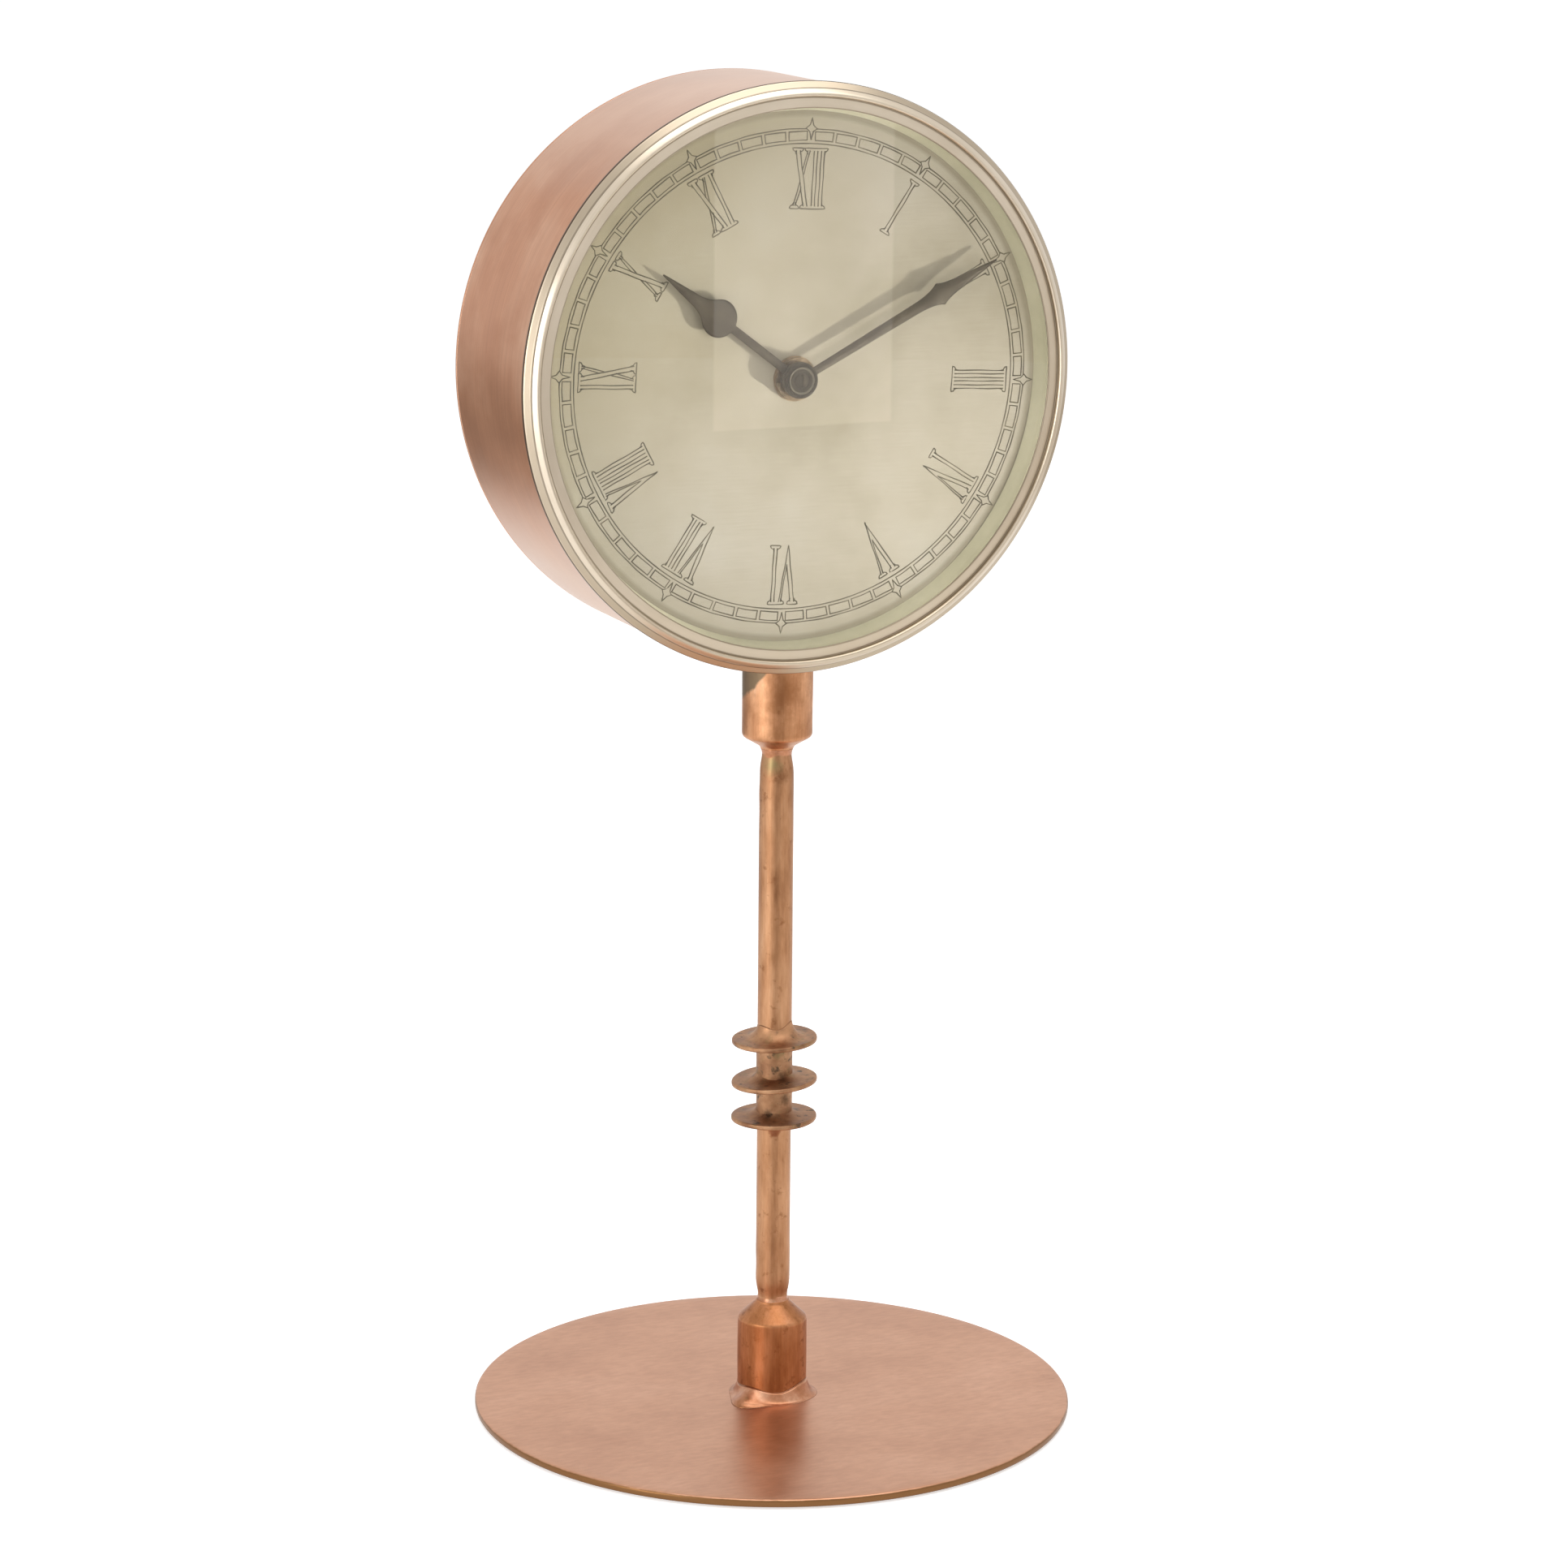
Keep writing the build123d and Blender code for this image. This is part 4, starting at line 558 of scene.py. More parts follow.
for which, below, above in (("lower", "lower", "middle"), ("upper", "middle", "upper")):
    low, high = discs["heights"][below] + half, discs["heights"][above] - half
    leans = [math.tan(math.radians(discs["tilts"][end])) for end in (below, above)]
    wall, waist = discs["bore"] + collar["wall"], discs["bore"] + collar["waist"]
    turned("discCollar_" + which, turnStand,
           [(discs["bore"], low), (wall, low), (waist, (low + high) / 2), (wall, high),
            (discs["bore"], high)],
           "disc_copper", ["disc_collar_" + which], "warm_copper", rounding=0.1, step=0.6, segments=72,
           shape=partial(collarShape, low, high, leans))

# Upper tube: cone, wall, and a top trimmed to the drum
upperTube = {"radius": 8.7, "neckBottom": 169.6, "bottom": 172.8, "top": 194.0, "neck": 4.1,
             "lip": (0.3, 0.7), "bore": 3.85, "gap": 0.05, "worn": 0.08, "lumps": ((2, 3, 5), 12.0, 81)}


# Underside of a drum: head height - root of (radius squared - x squared)
def underDrum(radius, x):
    return headHeight - np.sqrt(radius ** 2 - x ** 2)


# Radius worn, height cut off a hair below the drum
def upperShape(radius, height, theta):
    out = wornRadius(upperTube, radius, height, theta)
    return out, np.minimum(height, underDrum(drumRadius + upperTube["gap"], out * np.cos(theta)))


turned("upperTube", turnStand,
       [(upperTube["bore"], upperTube["neckBottom"]), (upperTube["neck"], upperTube["neckBottom"]),
        (upperTube["neck"] + upperTube["lip"][0], upperTube["neckBottom"] + upperTube["lip"][1]),
        (upperTube["radius"], upperTube["bottom"]), (upperTube["radius"], upperTube["top"]),
        (upperTube["bore"], upperTube["top"])],
       "tube_copper_painted_shadow", ["upper_socket"], "warm_copper", rounding=0.8, step=0.8, segments=128,
       shape=upperShape)

# Brazed seam round the tube's top; heights below and above 0 only tell its lower edge from its upper one
seam = {"inner": 0.06, "foot": 0.3, "top": 0.75, "height": 1.4, "lump": 0.15, "lumps": ((3, 5, 9), 4.0, 91)}


# Outer face lumpy; the upper edge follows the drum and the lower one runs a bead's height below it
def seamShape(radius, height, theta):
    lump = seam["lump"] * lumps(theta, height, *seam["lumps"])
    out = radius + lump * (radius > upperTube["radius"] + seam["foot"])
    edge = underDrum(drumRadius, out * np.cos(theta))
    return out, np.where(height > 0, edge, edge - seam["height"])


inner, foot, top = (upperTube["radius"] + seam[part] for part in ("inner", "foot", "top"))
turned("saddleSeam", turnStand, [(inner, -1), (foot, -0.9), (top, 1), (inner, 1)], "braze", ["saddle_braze"],
       "braze", rounding=0.1, step=0.3, segments=128, shape=seamShape)

# Beads at both necks: node, start, rise and full radius; drawn in to the rod along a squared curve
neckBeads = {"lowerNeckBead": ("lower_neck_braze", 27.3, 1.4, 4.12),
             "upperNeckBead": ("upper_neck_braze", 169.7, -2.2, 4.15)}
neckBead = {"core": 3.5, "thin": 3.7, "waver": 0.06, "lumps": ((2, 3, 5), 5.0)}


# Radius less a share of lumps, except at the core
def neckShape(seed, radius, height, theta):
    lump = lumps(theta, height, *neckBead["lumps"], seed) - 1
    return radius + neckBead["waver"] * (radius > neckBead["core"] + 0.1) * lump, height


run = np.linspace(0, 1, 9)
for name, (node, start, rise, full) in neckBeads.items():
    thin, core = neckBead["thin"], neckBead["core"]
    curve = np.stack([thin + (full - thin) * (1 - run) ** 2, start + rise * run], -1)
    profile = np.concatenate([[(core, start)], curve, [(core, start + rise)]])
    brazed(name, profile, 96, partial(neckShape, int(start)), node)
print("stage 3: stand made")

# Drum: spun wall, edges just broken
drum = {"front": 11.9, "back": -34.0, "wall": 0.9, "gap": 0.35}
turned("drumShell", turnHead,
       slab(drumRadius - drum["wall"], drumRadius, drum["back"], drum["front"] - drum["gap"]),
       "satin_copper", ["case_drum"], "satin_copper", rounding=0.3, step=3.0, segments=256)

# Back lid: pressed pan with a rolled edge and one pressed ring
lid = {"thickness": 1.1, "rimOuter": 69.5, "rimInner": 68.7, "rimDepth": 4.5, "ringRadius": 54.0,
       "ringDepth": 0.5, "ringWidth": 2.2}


# Pressed ring: a bell curve across the radius
def lidShape(radius, front, theta):
    press = lid["ringDepth"] * np.exp(-((radius - lid["ringRadius"]) / lid["ringWidth"]) ** 2)
    return radius, front + press


lidFace, lidEnd = drum["back"] - lid["thickness"], drum["back"] + lid["rimDepth"]
turned("backLid", turnHead,
       [(0, lidFace), (drumRadius, lidFace), (drumRadius, drum["back"]), (lid["rimOuter"], drum["back"]),
        (lid["rimOuter"], lidEnd), (lid["rimInner"], lidEnd), (lid["rimInner"], drum["back"]),
        (0, drum["back"])],
       "sheet_copper", ["back_lid"], "satin_copper", body="lid_set", rounding=0.5, step=1.0, segments=192,
       closed=False, shape=lidShape)

# Bezel: bevelled flange on the drum, groove, bead, quirk and inner flat, with its sleeve behind
bezel = {"radius": 71.3, "flange": 12.9, "bevelTop": 14.2, "groove": 69.65, "quirk": 67.65, "inner": 65.0,
         "front": 15.0, "beadFoot": 14.6, "beadTop": 15.75, "beadLean": 1.7, "sleeveOuter": 69.5,
         "sleeveInner": 68.9, "sleeveBack": 8.3, "lipBack": 14.4}
beadTurn = np.linspace(0, 1, 19)[1:-1]  # half sine with its top drawn towards the dial
bead = np.stack([bezel["quirk"] + (bezel["groove"] - bezel["quirk"]) * beadTurn ** bezel["beadLean"],
                 bezel["beadFoot"] + (bezel["beadTop"] - bezel["beadFoot"]) * np.sin(math.pi * beadTurn)], -1)
bezelCorners = [(bezel["groove"], bezel["beadFoot"]), (bezel["groove"], bezel["bevelTop"]),
                (bezel["radius"], bezel["flange"]), (bezel["radius"], drum["front"]),
                (bezel["sleeveOuter"], drum["front"]), (bezel["sleeveOuter"], bezel["sleeveBack"]),
                (bezel["sleeveInner"], bezel["sleeveBack"]), (bezel["sleeveInner"], bezel["lipBack"]),
                (bezel["inner"], bezel["lipBack"]), (bezel["inner"], bezel["front"]),
                (bezel["quirk"], bezel["beadFoot"])]
turned("bezelRing", turnHead, bezelCorners + bead.tolist(), "bezel_metal", ["bezel_ring"], "bezel_metal",
       rounding=0.28, step=1.0, segments=320)

# Glass, inner ring and dial
glass = {"back": 13.0, "front": 14.4, "radius": 68.7}
turned("glassPane", turnHead, slab(0, glass["radius"], glass["back"], glass["front"]), "clear_glass",
       ["glass_lens"], "clear_glass", rounding=0.2, step=6.0, segments=192, closed=False)
innerRing = {"foot": 64.0, "lip": 65.3}
dial = {"front": 8.0, "back": 7.0, "radius": 69.3, "hole": 4.05, "turn": math.radians(3.25)}
turned("rehautRing", turnHead, [(innerRing["foot"], dial["front"]), (glass["radius"], dial["front"]),
       (glass["radius"], glass["back"]), (innerRing["lip"], glass["back"])],
       "rehaut_plastic", ["rehaut_ring"], "rehaut_plastic", rounding=0.15, step=1.0, segments=256)
turned("dialFace", turnHead, slab(dial["hole"], dial["radius"], dial["back"], dial["front"]),
       "champagne_metal", ["dial_plate"], "champagne_metal", rounding=0.1, step=3.0, segments=192)

# Engraving: every stroke is a thin ribbon that follows a line on the dial, with a slight hand waver
engraving = {"width": 0.26, "rise": 0.03, "waver": 0.045, "pace": 0.9, "swing": (0.7, 0.55), "swell": 0.18,
             "swellPace": 0.4, "struck": 300, "numeralFoot": 40.6, "numeralHeight": 14.4, "serif": 0.75,
             "join": 0.75, "rings": (59.6, 56.1), "cell": (56.85, 58.95), "cellGap": 0.42, "hourGap": 1.05,
             "ringGap": 1.2, "starMiddle": 59.7, "starTips": (56.9, 62.1), "starHalf": 1.35,
             "starWaist": (0.5, 0.75), "stretch": 1.022, "aside": 0.5, "penStep": 0.7, "starStep": 0.5}
strokes = []


# Local stroke (across, up from the foot) carried to its hour: turned clockwise, foot towards the middle
def atHour(points, hour, foot):
    turn = hour * fullTurn / 12
    across, up = points[:, 0], points[:, 1] + foot
    return np.stack([across * math.cos(turn) + up * math.sin(turn),
                     -across * math.sin(turn) + up * math.cos(turn)], -1)


top = engraving["numeralHeight"]
letterWidth = {"I": 1.8, "V": 5.2, "X": 4.7}
# Lines of each letter about its middle, and the spans of its serifs at the top and the foot
letters = {
    "I": {"lines": [[(-0.42, 0.6), (-0.42, top - 0.6)], [(0.42, 0.6), (0.42, top - 0.6)]],
          "top": [(-0.42, 0.42)], "foot": [(-0.42, 0.42)]},
    "V": {"lines": [[(-2.05, top - 0.6), (0.15, 0.1), (1.95, top - 0.6)],
                    [(-1.05, top - 0.6), (0.35, 4.6), (1.45, top - 0.6)],
                    [(0.02, 0.35), (0.15, 0.0), (0.3, 0.35)]],
          "top": [(-2.05, -1.05), (1.45, 1.95)], "foot": []},
    "X": {"lines": [[(-1.85, top - 0.6), (0.75, 0.6)], [(-0.8, top - 0.6), (1.75, 0.6)],
                    [(1.75, top - 0.6), (0.42, top / 2 + 0.9)], [(1.25, top - 0.6), (0.02, top / 2 + 2.0)],
                    [(-0.42, top / 2 - 0.9), (-1.75, 0.6)], [(0.0, top / 2 - 2.0), (-1.25, 0.6)]],
          "top": [(-1.85, -0.8), (1.25, 1.75)], "foot": [(-1.75, -1.25), (0.75, 1.75)]},
}


# One serif over a span of lines: out from the line, round the end, along the edge and back again
def serifLine(low, high, edge, inward):
    out = engraving["serif"]
    shape = [(low, 1.5), (low - 0.12, 0.95), (low - out, 0.55), (low - out - 0.12, 0.1),
             (low - out + 0.2, 0.0), (high + out - 0.2, 0.0), (high + out + 0.12, 0.1),
             (high + out, 0.55), (high + 0.12, 0.95), (high, 1.5)]
    return [(x, edge + inward * y) for x, y in shape]


# Spans that would touch are joined into one
def joinSpans(spans):
    joined = []
    for low, high in sorted(spans):
        if joined and low - joined[-1][1] < 2 * engraving["join"]:
            joined[-1] = (joined[-1][0], high)
        else:
            joined.append((low, high))
    return joined


hourNames = ["XII", "I", "II", "III", "IV", "V", "VI", "VII", "VIII", "IX", "X", "XI"]
for hour, word in enumerate(hourNames):
    start = -sum(letterWidth[letter] for letter in word) / 2
    pen, spans = [], {"top": [], "foot": []}
    for letter in word:
        middle = start + letterWidth[letter] / 2
        start += letterWidth[letter]
        pen += [[(x + middle, y) for x, y in stroke] for stroke in letters[letter]["lines"]]
        for end in spans:
            spans[end] += [(low + middle, high + middle) for low, high in letters[letter][end]]
    pen += [serifLine(low, high, top, -1) for low, high in joinSpans(spans["top"])]
    pen += [serifLine(low, high, 0.0, 1) for low, high in joinSpans(spans["foot"])]
    pen = [fineSteps(np.array(stroke), engraving["penStep"], False) for stroke in pen]
    strokes += [(atHour(stroke, hour, engraving["numeralFoot"]), False) for stroke in pen]
    low, high = engraving["starTips"]
    wide, mid = engraving["starHalf"], engraving["starMiddle"]
    waist, rise = engraving["starWaist"]
    star = np.array([(0, high), (waist, mid + rise), (wide, mid), (waist, mid - rise), (0, low),
                     (-waist, mid - rise), (-wide, mid), (-waist, mid + rise)])
    strokes.append((atHour(fineSteps(star, engraving["starStep"], True), hour, 0.0), True))
    gap = engraving["ringGap"] / engraving["rings"][0]
    sweep = np.linspace(hour * fullTurn / 12 + gap, (hour + 1) * fullTurn / 12 - gap, 40)
    strokes.append((engraving["rings"][0] * np.stack([np.sin(sweep), np.cos(sweep)], -1), False))
sweep = np.linspace(0, fullTurn, 360, endpoint=False)
strokes.append((engraving["rings"][1] * np.stack([np.sin(sweep), np.cos(sweep)], -1), True))
for minute in range(60):
    inner, outer = engraving["cell"]
    gaps = [engraving["hourGap" if edge % 5 == 0 else "cellGap"] / outer for edge in (minute, minute + 1)]
    sweep = np.linspace(minute * fullTurn / 60 + gaps[0], (minute + 1) * fullTurn / 60 - gaps[1], 8)
    arc = np.stack([np.sin(sweep), np.cos(sweep)], -1)
    strokes.append((np.concatenate([outer * arc, inner * arc[::-1]]), True))


# Ribbon of box section along each line: offset by the mitred normal, (n1 + n2) / (1 + n1.n2)
def engrave(strokes):
    allPoints, allQuads, count = [], [], 0
    turn = dial["turn"]
    spin = np.array([[math.cos(turn), -math.sin(turn)], [math.sin(turn), math.cos(turn)]])
    for line, closed in strokes:
        phase = rng.uniform(0, fullTurn, 2)
        run = np.arange(len(line))[:, None] * engraving["pace"]
        if len(line) < engraving["struck"]:  # a longer line is struck with compasses and stays true
            line = line + engraving["waver"] * np.sin(run * engraving["swing"] + phase)
        ahead = np.roll(line, -1, 0) - line
        ahead[-1] = ahead[-1] if closed else ahead[-2]
        ahead = ahead / np.linalg.norm(ahead, axis=1, keepdims=True)
        behind = np.roll(ahead, 1, 0)
        behind[0] = behind[0] if closed else ahead[0]
        n1, n2 = (np.stack([-d[:, 1], d[:, 0]], -1) for d in (behind, ahead))
        mitre = (n1 + n2) / np.maximum(1 + (n1 * n2).sum(1, keepdims=True), 0.5)  # 0.5 keeps corners short
        swell = engraving["swell"] * np.sin(run * engraving["swellPace"] + phase[0])
        half = 0.5 * engraving["width"] * (1 + swell)
        left, right = (line + mitre * half) @ spin, (line - mitre * half) @ spin
        section = [(left, 0.0), (left, engraving["rise"]), (right, engraving["rise"]), (right, 0.0)]
        ring = np.stack([np.stack([p[:, 0] * engraving["stretch"] + engraving["aside"],
                                   -(dial["front"] + h) + 0 * p[:, 0], headHeight + p[:, 1]], -1)
                         for p, h in section], 1)
        quads = gridQuads(len(line), 4, closed, True)
        if not closed:
            quads = np.concatenate([quads, [[0, 1, 2, 3]], 4 * (len(line) - 1) + np.array([[3, 2, 1, 0]])])
        allPoints.append(ring.reshape(-1, 3))
        allQuads.append(quads + count)
        count += ring.shape[0] * 4
    return np.concatenate(allPoints), np.concatenate(allQuads)


makePiece("dialEngraving", *engrave(strokes), "etched_line", "stand_and_case", (), "champagne_metal")
print("stage 4: head made,", len(strokes), "engraved strokes")

# Both hands: where they start, points along and across, dome, and the ring round the hub
handForm = {"root": 3.2, "steps": 220, "across": 13, "edge": 0.3, "crown": 1.6, "under": 0.98, "rim": 0.15,
            "segments": 64}


# A hand: half width w(s) carried along its length, lifted across it by edge + (1 - edge)(1 - |t| ^ crown)
# over a flat back, both ends drawn to a point, with a flat ring round the hub
def makeHand(name, hand, outline, body, node):
    back, thickness, angle = hand["back"], hand["thickness"], hand["angle"]
    s = np.linspace(outline[0, 0], outline[-1, 0], handForm["steps"])
    s = np.concatenate([s[:1], s, s[-1:]])
    half = np.interp(s, outline[:, 0], outline[:, 1])
    full = np.ones_like(s)
    half[[0, -1]], full[[0, -1]] = 0.0, 0.0
    dome = np.linspace(-1, 1, handForm["across"])
    t = np.concatenate([dome, [handForm["under"], -handForm["under"]]])
    lift = handForm["edge"] + (1 - handForm["edge"]) * (1 - np.abs(dome) ** handForm["crown"])
    lift = full[:, None] * np.concatenate([lift, [0, 0]]) * thickness
    along = np.array([math.sin(angle), 0, math.cos(angle)])
    across = np.array([math.cos(angle), 0, -math.sin(angle)])
    blade = (s[:, None, None] * along + (half[:, None] * t)[..., None] * across
             + np.array([0, -back, headHeight]) - lift[..., None] * np.array([0, 1, 0]))
    rim = softCorners(slab(*hand["boss"], back, back + thickness), handForm["rim"], True)
    ring = turnHead(rim, handForm["segments"])
    points = np.concatenate([blade.reshape(-1, 3), ring.reshape(-1, 3)])
    quads = np.concatenate([gridQuads(len(s), len(t), False, True),
                            gridQuads(handForm["segments"], len(rim), True, True) + len(s) * len(t)])
    makePiece(name, points, quads, "hand_metal", body, [node], "hand_metal")


# Quadratic curve from a start to an end, drawn towards a pull point: (1 - t)^2 a + 2 t (1 - t) b + t^2 c
def bend(start, pull, end, count=14):
    t = np.linspace(0, 1, count)[:, None]
    a, b, c = (np.array(p, float) for p in (start, pull, end))
    return (1 - t) ** 2 * a + 2 * t * (1 - t) * b + t ** 2 * c


# Hour hand: thin stalk, round bulb, hollow curve into a long taper
hourHand = {"back": 10.0, "thickness": 0.5, "angle": math.radians(307.3), "length": 43.9, "stalk": 1.05,
            "bulbAt": 25.8, "bulb": 4.6, "taper": (34.5, 1.35), "pull": (30.9, 1.55), "tip": 0.2,
            "boss": (2.51, 4.2)}
bulbStart = math.asin(hourHand["stalk"] / hourHand["bulb"])
bulbTurn = np.linspace(math.pi - bulbStart, math.pi / 4, 40)
bulb = np.stack([hourHand["bulbAt"] + hourHand["bulb"] * np.cos(bulbTurn),
                 hourHand["bulb"] * np.sin(bulbTurn)], -1)
hourOutline = np.concatenate([[(handForm["root"], hourHand["stalk"])], bulb,
                              bend(bulb[-1], hourHand["pull"], hourHand["taper"])[1:],
                              [(hourHand["length"], hourHand["tip"])]])
makeHand("hourHand", hourHand, hourOutline, "hour_hand_set", "hour_hand")

# Minute hand: slowly widening stalk, a dart with hollow sides, fine tip
minuteHand = {"back": 11.1, "thickness": 0.5, "angle": math.radians(62.7), "length": 58.3, "root": 1.0,
              "dartStart": (34.0, 1.35), "risePull": (39.8, 1.45), "shoulder": (41.6, 2.95),
              "fallPull": (43.6, 1.75), "dartEnd": (48.0, 1.49), "tip": 0.2, "boss": (1.61, 4.4)}
rise = bend(minuteHand["dartStart"], minuteHand["risePull"], minuteHand["shoulder"])
fall = bend(minuteHand["shoulder"], minuteHand["fallPull"], minuteHand["dartEnd"])[1:]
minuteOutline = np.concatenate([[(handForm["root"], minuteHand["root"])], rise, fall,
                                [(minuteHand["length"], minuteHand["tip"])]])
makeHand("minuteHand", minuteHand, minuteOutline, "minute_hand_set", "minute_hand")

# Hub cap: turned button with a screw slot in its middle and turned rings round it
hub = {"radius": 4.3, "back": 11.6, "front": 12.6, "faceFrom": 0.6, "faceFade": 0.3, "slotHalf": 0.3,
       "slotReach": 1.5, "slotDepth": 0.3, "slotLip": 0.08, "slotSlope": 0.12, "rim": 3.75, "rimDrop": 0.25,
       "rimSlope": 0.15, "grooves": [(1.9, 0.16, 0.16), (2.9, 0.2, 0.22), (3.55, 0.16, 0.16)]}


# Front face lowered by the deepest of slot, grooves (bell curves: place, half width, depth) and rim
def hubShape(radius, front, theta):
    face = np.clip((front - hub["back"] - hub["faceFrom"]) / hub["faceFade"], 0, 1)
    inside = hub["slotHalf"] + hub["slotLip"] - np.abs(radius * np.sin(theta))
    slot = hub["slotDepth"] * np.clip(inside / hub["slotSlope"], 0, 1)
    cut = slot * np.clip((hub["slotReach"] - radius) / hub["slotSlope"], 0, 1)
    for middle, half, depth in hub["grooves"]:
        cut = np.maximum(cut, depth * np.exp(-((radius - middle) / half) ** 2))
    cut = np.maximum(cut, hub["rimDrop"] * np.clip((radius - hub["rim"]) / hub["rimSlope"], 0, 1))
    return radius, front - face * cut


turned("hubCap", turnHead, slab(0, hub["radius"], hub["back"], hub["front"]), "cap_metal", ["cap_nut"],
       "hand_metal", body="minute_hand_set", rounding=0.35, step=0.12, segments=128, closed=False,
       shape=hubShape)
print("stage 5: hands made")

# CAD nodes that stay as they are, by finish
kept = {
    "felt": ["base_felt"],
    "bright_brass": ["minute_arbor", "dial_seat"],
    "nut_brass": ["dial_washer", "dial_nut"],
    "white_plastic": ["train_bridge", "coil_bobbin", "hour_wheel", "minute_wheel", "set_arbor",
                      "centre_wheel", "third_wheel", "fourth_wheel", "intermediate_wheel", "rotor_pinion"],
    "black_plastic": ["movement_front_case", "movement_rear_case", "set_knob", "movement_gasket",
                      "chip_cover"],
    "bright_steel": ["stator_plate", "coil_core", "quartz_crystal", "contact_positive", "contact_negative"],
    "magnet": ["rotor_magnet"],
    "enamel_wire": ["coil_winding"],
    "board_laminate": ["circuit_board"],
    "cell_sleeve": ["battery_cell"],
}
for finish, nodes in kept.items():
    for node in nodes:
        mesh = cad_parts[node].data
        mesh.materials.clear()
        mesh.materials.append(finishes[finish])


# Studio: white floor and surround, soft boxes, and sheets that only mirrors and clear glass show
def makeStageSheet(name, corners, material, mirroredOnly=False):
    mesh = bpy.data.meshes.new(name)
    mesh.from_pydata(corners, [], [tuple(range(len(corners)))])
    mesh.materials.append(material)
    sheet = bpy.data.objects.new(name, mesh)
    bpy.context.scene.collection.objects.link(sheet)
    if mirroredOnly:
        sheet.visible_camera = sheet.visible_diffuse = sheet.visible_shadow = False


# 1 for the three kinds of ray that should find the surround white, else 0
def seenDirectly(tree):
    ray = addNode(tree, "LightPath")
    seen = addNode(tree, "Math", {0: (ray, "Is Camera Ray"), 1: (ray, "Is Glossy Ray")},
                   operation="MAXIMUM")
    return addNode(tree, "Math", {0: (seen, "Value"), 1: (ray, "Is Transmission Ray")},
                   operation="MAXIMUM")


# Paper that glows where it is seen directly and takes shadows, or a sheet that only glows
def makeSheetPaper(name, hexText, glow, glowsOnly=False):
    material = bpy.data.materials.new(name)
    material.use_nodes = True
    tree = material.node_tree
    tree.nodes.remove(tree.nodes["Principled BSDF"])
    end = tree.nodes["Material Output"].inputs["Surface"]
    if glowsOnly:
        light = addNode(tree, "Emission", {"Color": linear(hexText), "Strength": glow})
        tree.links.new(light.outputs["Emission"], end)
        return material
    soft = addNode(tree, "BsdfDiffuse", {"Color": linear(hexText)})
    level = addNode(tree, "Math", {0: (seenDirectly(tree), "Value"), 1: glow}, operation="MULTIPLY")
    light = addNode(tree, "Emission", {"Strength": (level, "Value")})
    both = addNode(tree, "AddShader", {0: (soft, "BSDF"), 1: (light, "Emission")})
    tree.links.new(both.outputs["Shader"], end)
    return material


studio = {"floor": 9.0, "floorGlow": 0.6, "surround": 1.0, "fill": 0.5, "cardLift": 0.002}
reach = studio["floor"]
makeStageSheet("floor", [(x, y, 0) for x, y in slab(-reach, reach, -reach, reach)],
               makeSheetPaper("floorPaper", "#EFEFEF", studio["floorGlow"]))

# Grey cards on the floor: compass span in degrees and distance span in metres from the stem, and tone
cards = {
    "cardHeadNear": {"span": (276, 316), "reach": (0.70, 1.9), "tone": "#E4DED6"},
    "cardHeadFar": {"span": (276, 316), "reach": (1.9, 8.5), "tone": "#CFC5B7"},
    "cardFrontNear": {"span": (232, 272), "reach": (0.10, 0.36), "tone": "#DDD5CB"},
    "cardFrontMid": {"span": (232, 272), "reach": (0.36, 0.62), "tone": "#F4ECE2"},
    "cardFrontFar": {"span": (232, 272), "reach": (0.62, 1.5), "tone": "#5A534C"},
    "cardRight": {"span": (-48, 45), "reach": (0.64, 1.5), "tone": "#E4DCD2"},
    "cardLeft": {"span": (92, 140), "reach": (0.6, 2.8), "tone": "#AAA298"},
}
for name, card in cards.items():
    sweep = np.radians(np.linspace(*card["span"], 13))
    rim = [r * np.stack([np.cos(a), np.sin(a)], -1) for r, a in zip(card["reach"], (sweep, sweep[::-1]))]
    flat = np.concatenate(rim)
    corners = np.concatenate([flat, np.full((len(flat), 1), studio["cardLift"])], 1).tolist()
    makeStageSheet(name, corners, makeSheetPaper(name, card["tone"], 1.0, True), mirroredOnly=True)

# Window panel that the glass mirrors across the middle of the dial
panel = {"x": (0.397, 0.487), "y": -1.0, "z": (0.084, 0.34), "glow": 1.35, "tone": "#FFF4E6"}
(west, east), (low, high) = panel["x"], panel["z"]
corners = [(x, panel["y"], z) for x, z in slab(west, east, low, high)]
makeStageSheet("windowPanel", corners, makeSheetPaper("windowLight", panel["tone"], panel["glow"], True),
               mirroredOnly=True)

# Surround: white to the eye and to mirrors, a plain fill for everything else
world = bpy.data.worlds.new("surround")
bpy.context.scene.world = world
world.use_nodes = True
tree = world.node_tree
background = tree.nodes["Background"]
level = addNode(tree, "MapRange", {"Value": (seenDirectly(tree), "Value"), "To Min": studio["fill"],
                "To Max": studio["surround"]})
tree.links.new(level.outputs["Result"], background.inputs["Strength"])
background.inputs["Color"].default_value = (1, 1, 1, 1)

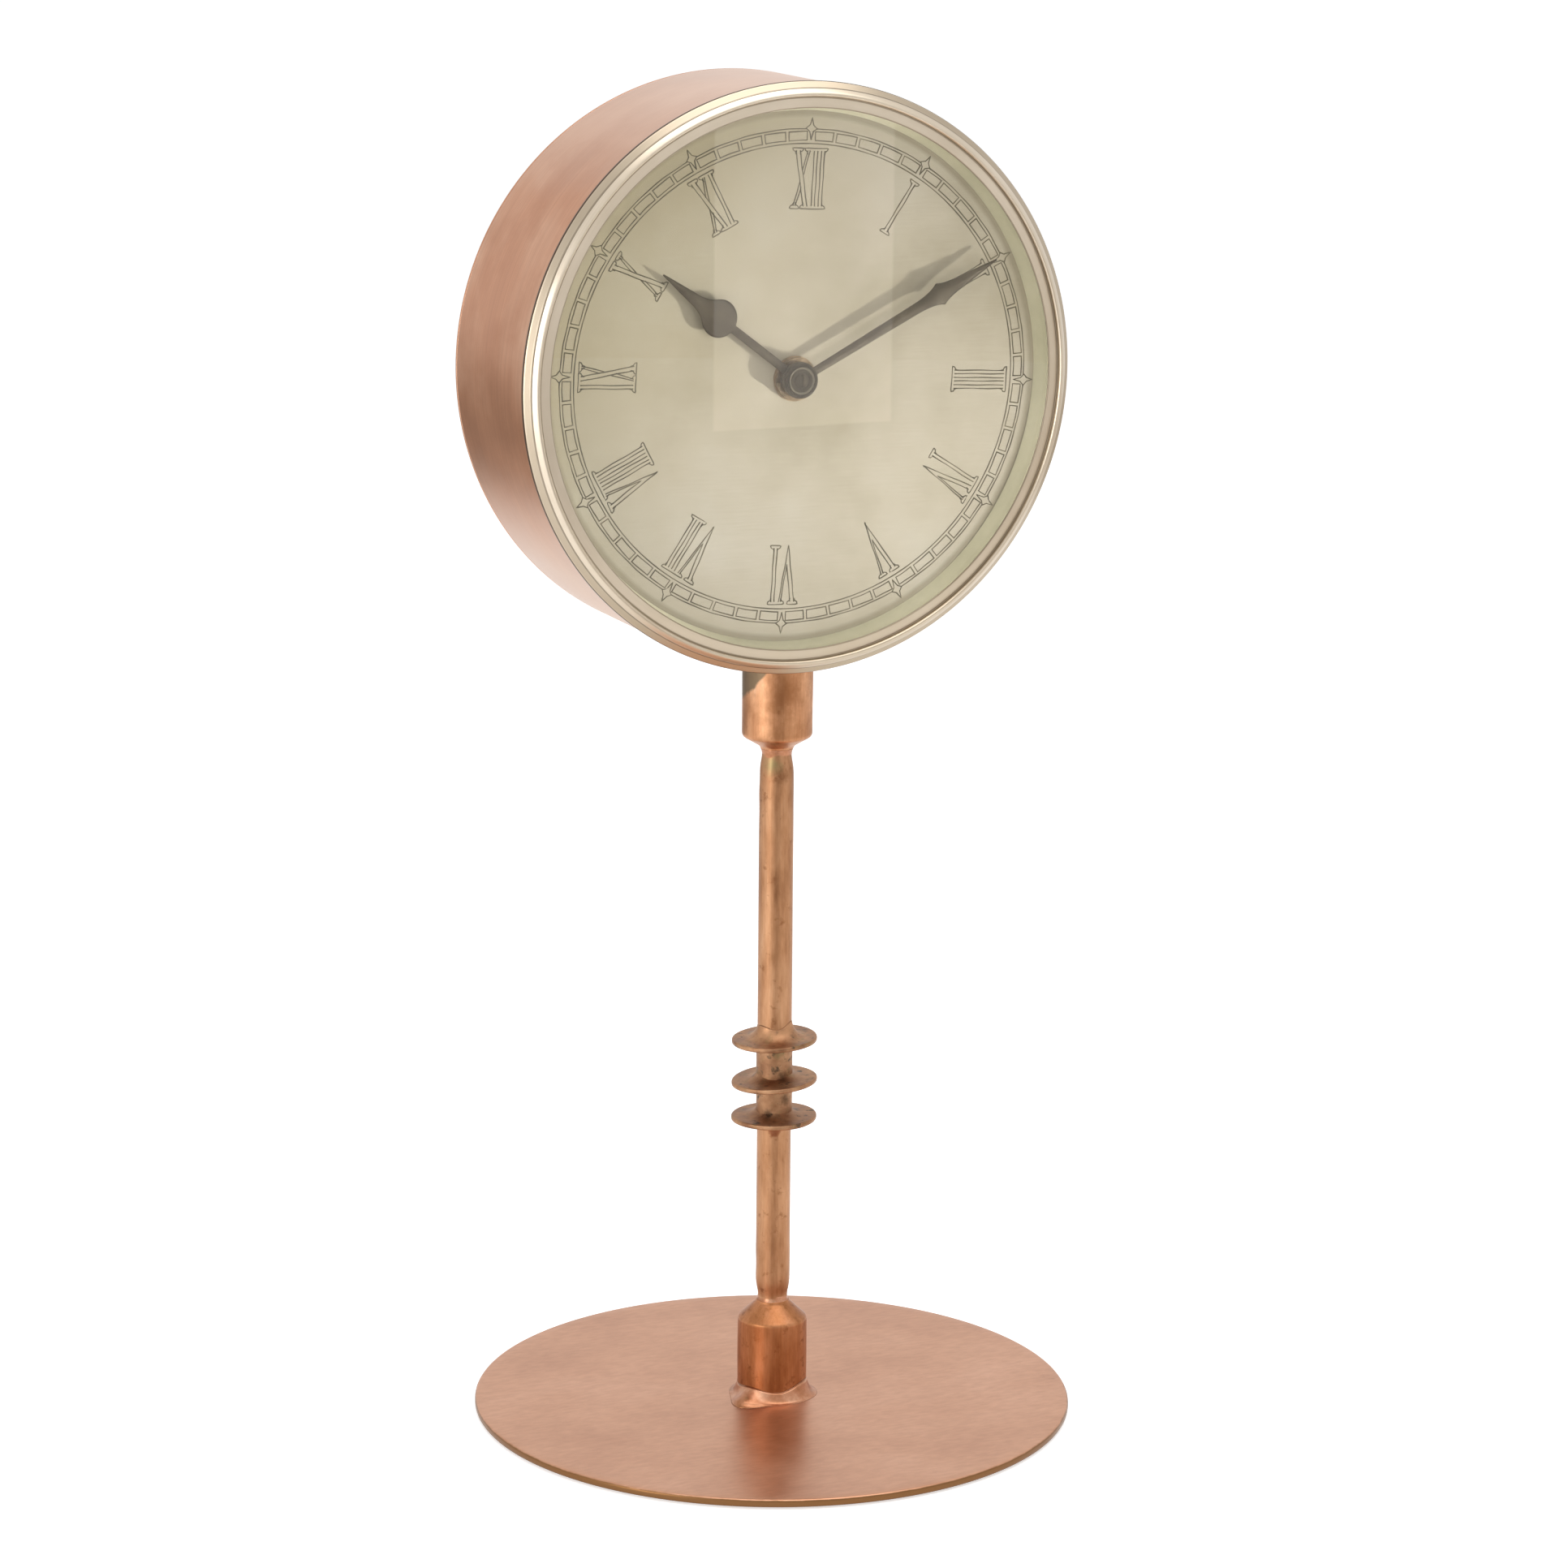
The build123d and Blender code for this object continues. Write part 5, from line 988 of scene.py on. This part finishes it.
# Soft boxes: place, aim and size in metres, watts; some have a spread in degrees, aren't mirrored, pass
# pieces without a shadow or skip pieces altogether
softBoxes = {
    "boxLeft": {"at": (-1.05, -0.40, 0.32), "aim": (0, 0, 0.15), "size": (0.35, 0.6), "watts": 3.0,
                "skips": ["glassPane"]},
    "boxRight": {"at": (0.457, -0.261, 0.04), "aim": (-0.03, 0, 0.262), "size": (0.03, 0.03), "watts": 0.133,
                 "mirrored": False, "spread": 30, "passes": ["bezelRing", "rehautRing"]},
    "boxTop": {"at": (0.1, -0.2, 1.5), "aim": (0, 0, 0.1), "size": (1.2, 1.2), "watts": 9.0},
}
for name, box in softBoxes.items():
    lamp = bpy.data.lights.new(name, "AREA")
    lamp.shape = "RECTANGLE"
    lamp.size, lamp.size_y = box["size"]
    lamp.energy = box["watts"]
    lamp.spread = math.radians(box.get("spread", 180))
    holder = bpy.data.objects.new(name, lamp)
    bpy.context.scene.collection.objects.link(holder)
    holder.location = box["at"]
    holder.visible_glossy = box.get("mirrored", True)
    holder.visible_camera = False
    for key, link in (("passes", "blocker_collection"), ("skips", "receiver_collection")):
        if key in box:
            group = bpy.data.collections.new(name + "_" + key)
            for piece in box[key]:
                group.objects.link(bpy.data.objects[piece])
            for entry in group.collection_objects:
                entry.light_linking.link_state = "EXCLUDE"
            setattr(holder.light_linking, link, group)
    holder.rotation_euler = (Vector(box["aim"]) - Vector(box["at"])).to_track_quat("-Z", "Y").to_euler()

# Camera: set by the ellipses of the base, bezel and drum, with the small roll of the picture
camera = {"at": (-0.47250, -1.06750, 0.42993), "aim": (0.001658, -0.000737, 0.160385), "lens": 111.80,
          "roll": math.radians(0.494)}
lens = bpy.data.cameras.new("camera")
lens.lens, lens.sensor_width = camera["lens"], 36.0
lens.clip_start, lens.clip_end = 0.01, 100
view = bpy.data.objects.new("camera", lens)
bpy.context.scene.collection.objects.link(view)
ahead = (Vector(camera["aim"]) - Vector(camera["at"])).normalized()
level = ahead.cross(Vector((0, 0, 1))).normalized()
upright = level.cross(ahead)
right = math.cos(camera["roll"]) * level + math.sin(camera["roll"]) * upright
up = right.cross(ahead)
view.matrix_world = Matrix.Translation(camera["at"]) @ Matrix((right, up, -ahead)).transposed().to_4x4()
bpy.context.scene.camera = view
bpy.context.scene.view_settings.view_transform = "Standard"
print("stage 6: studio and camera set")
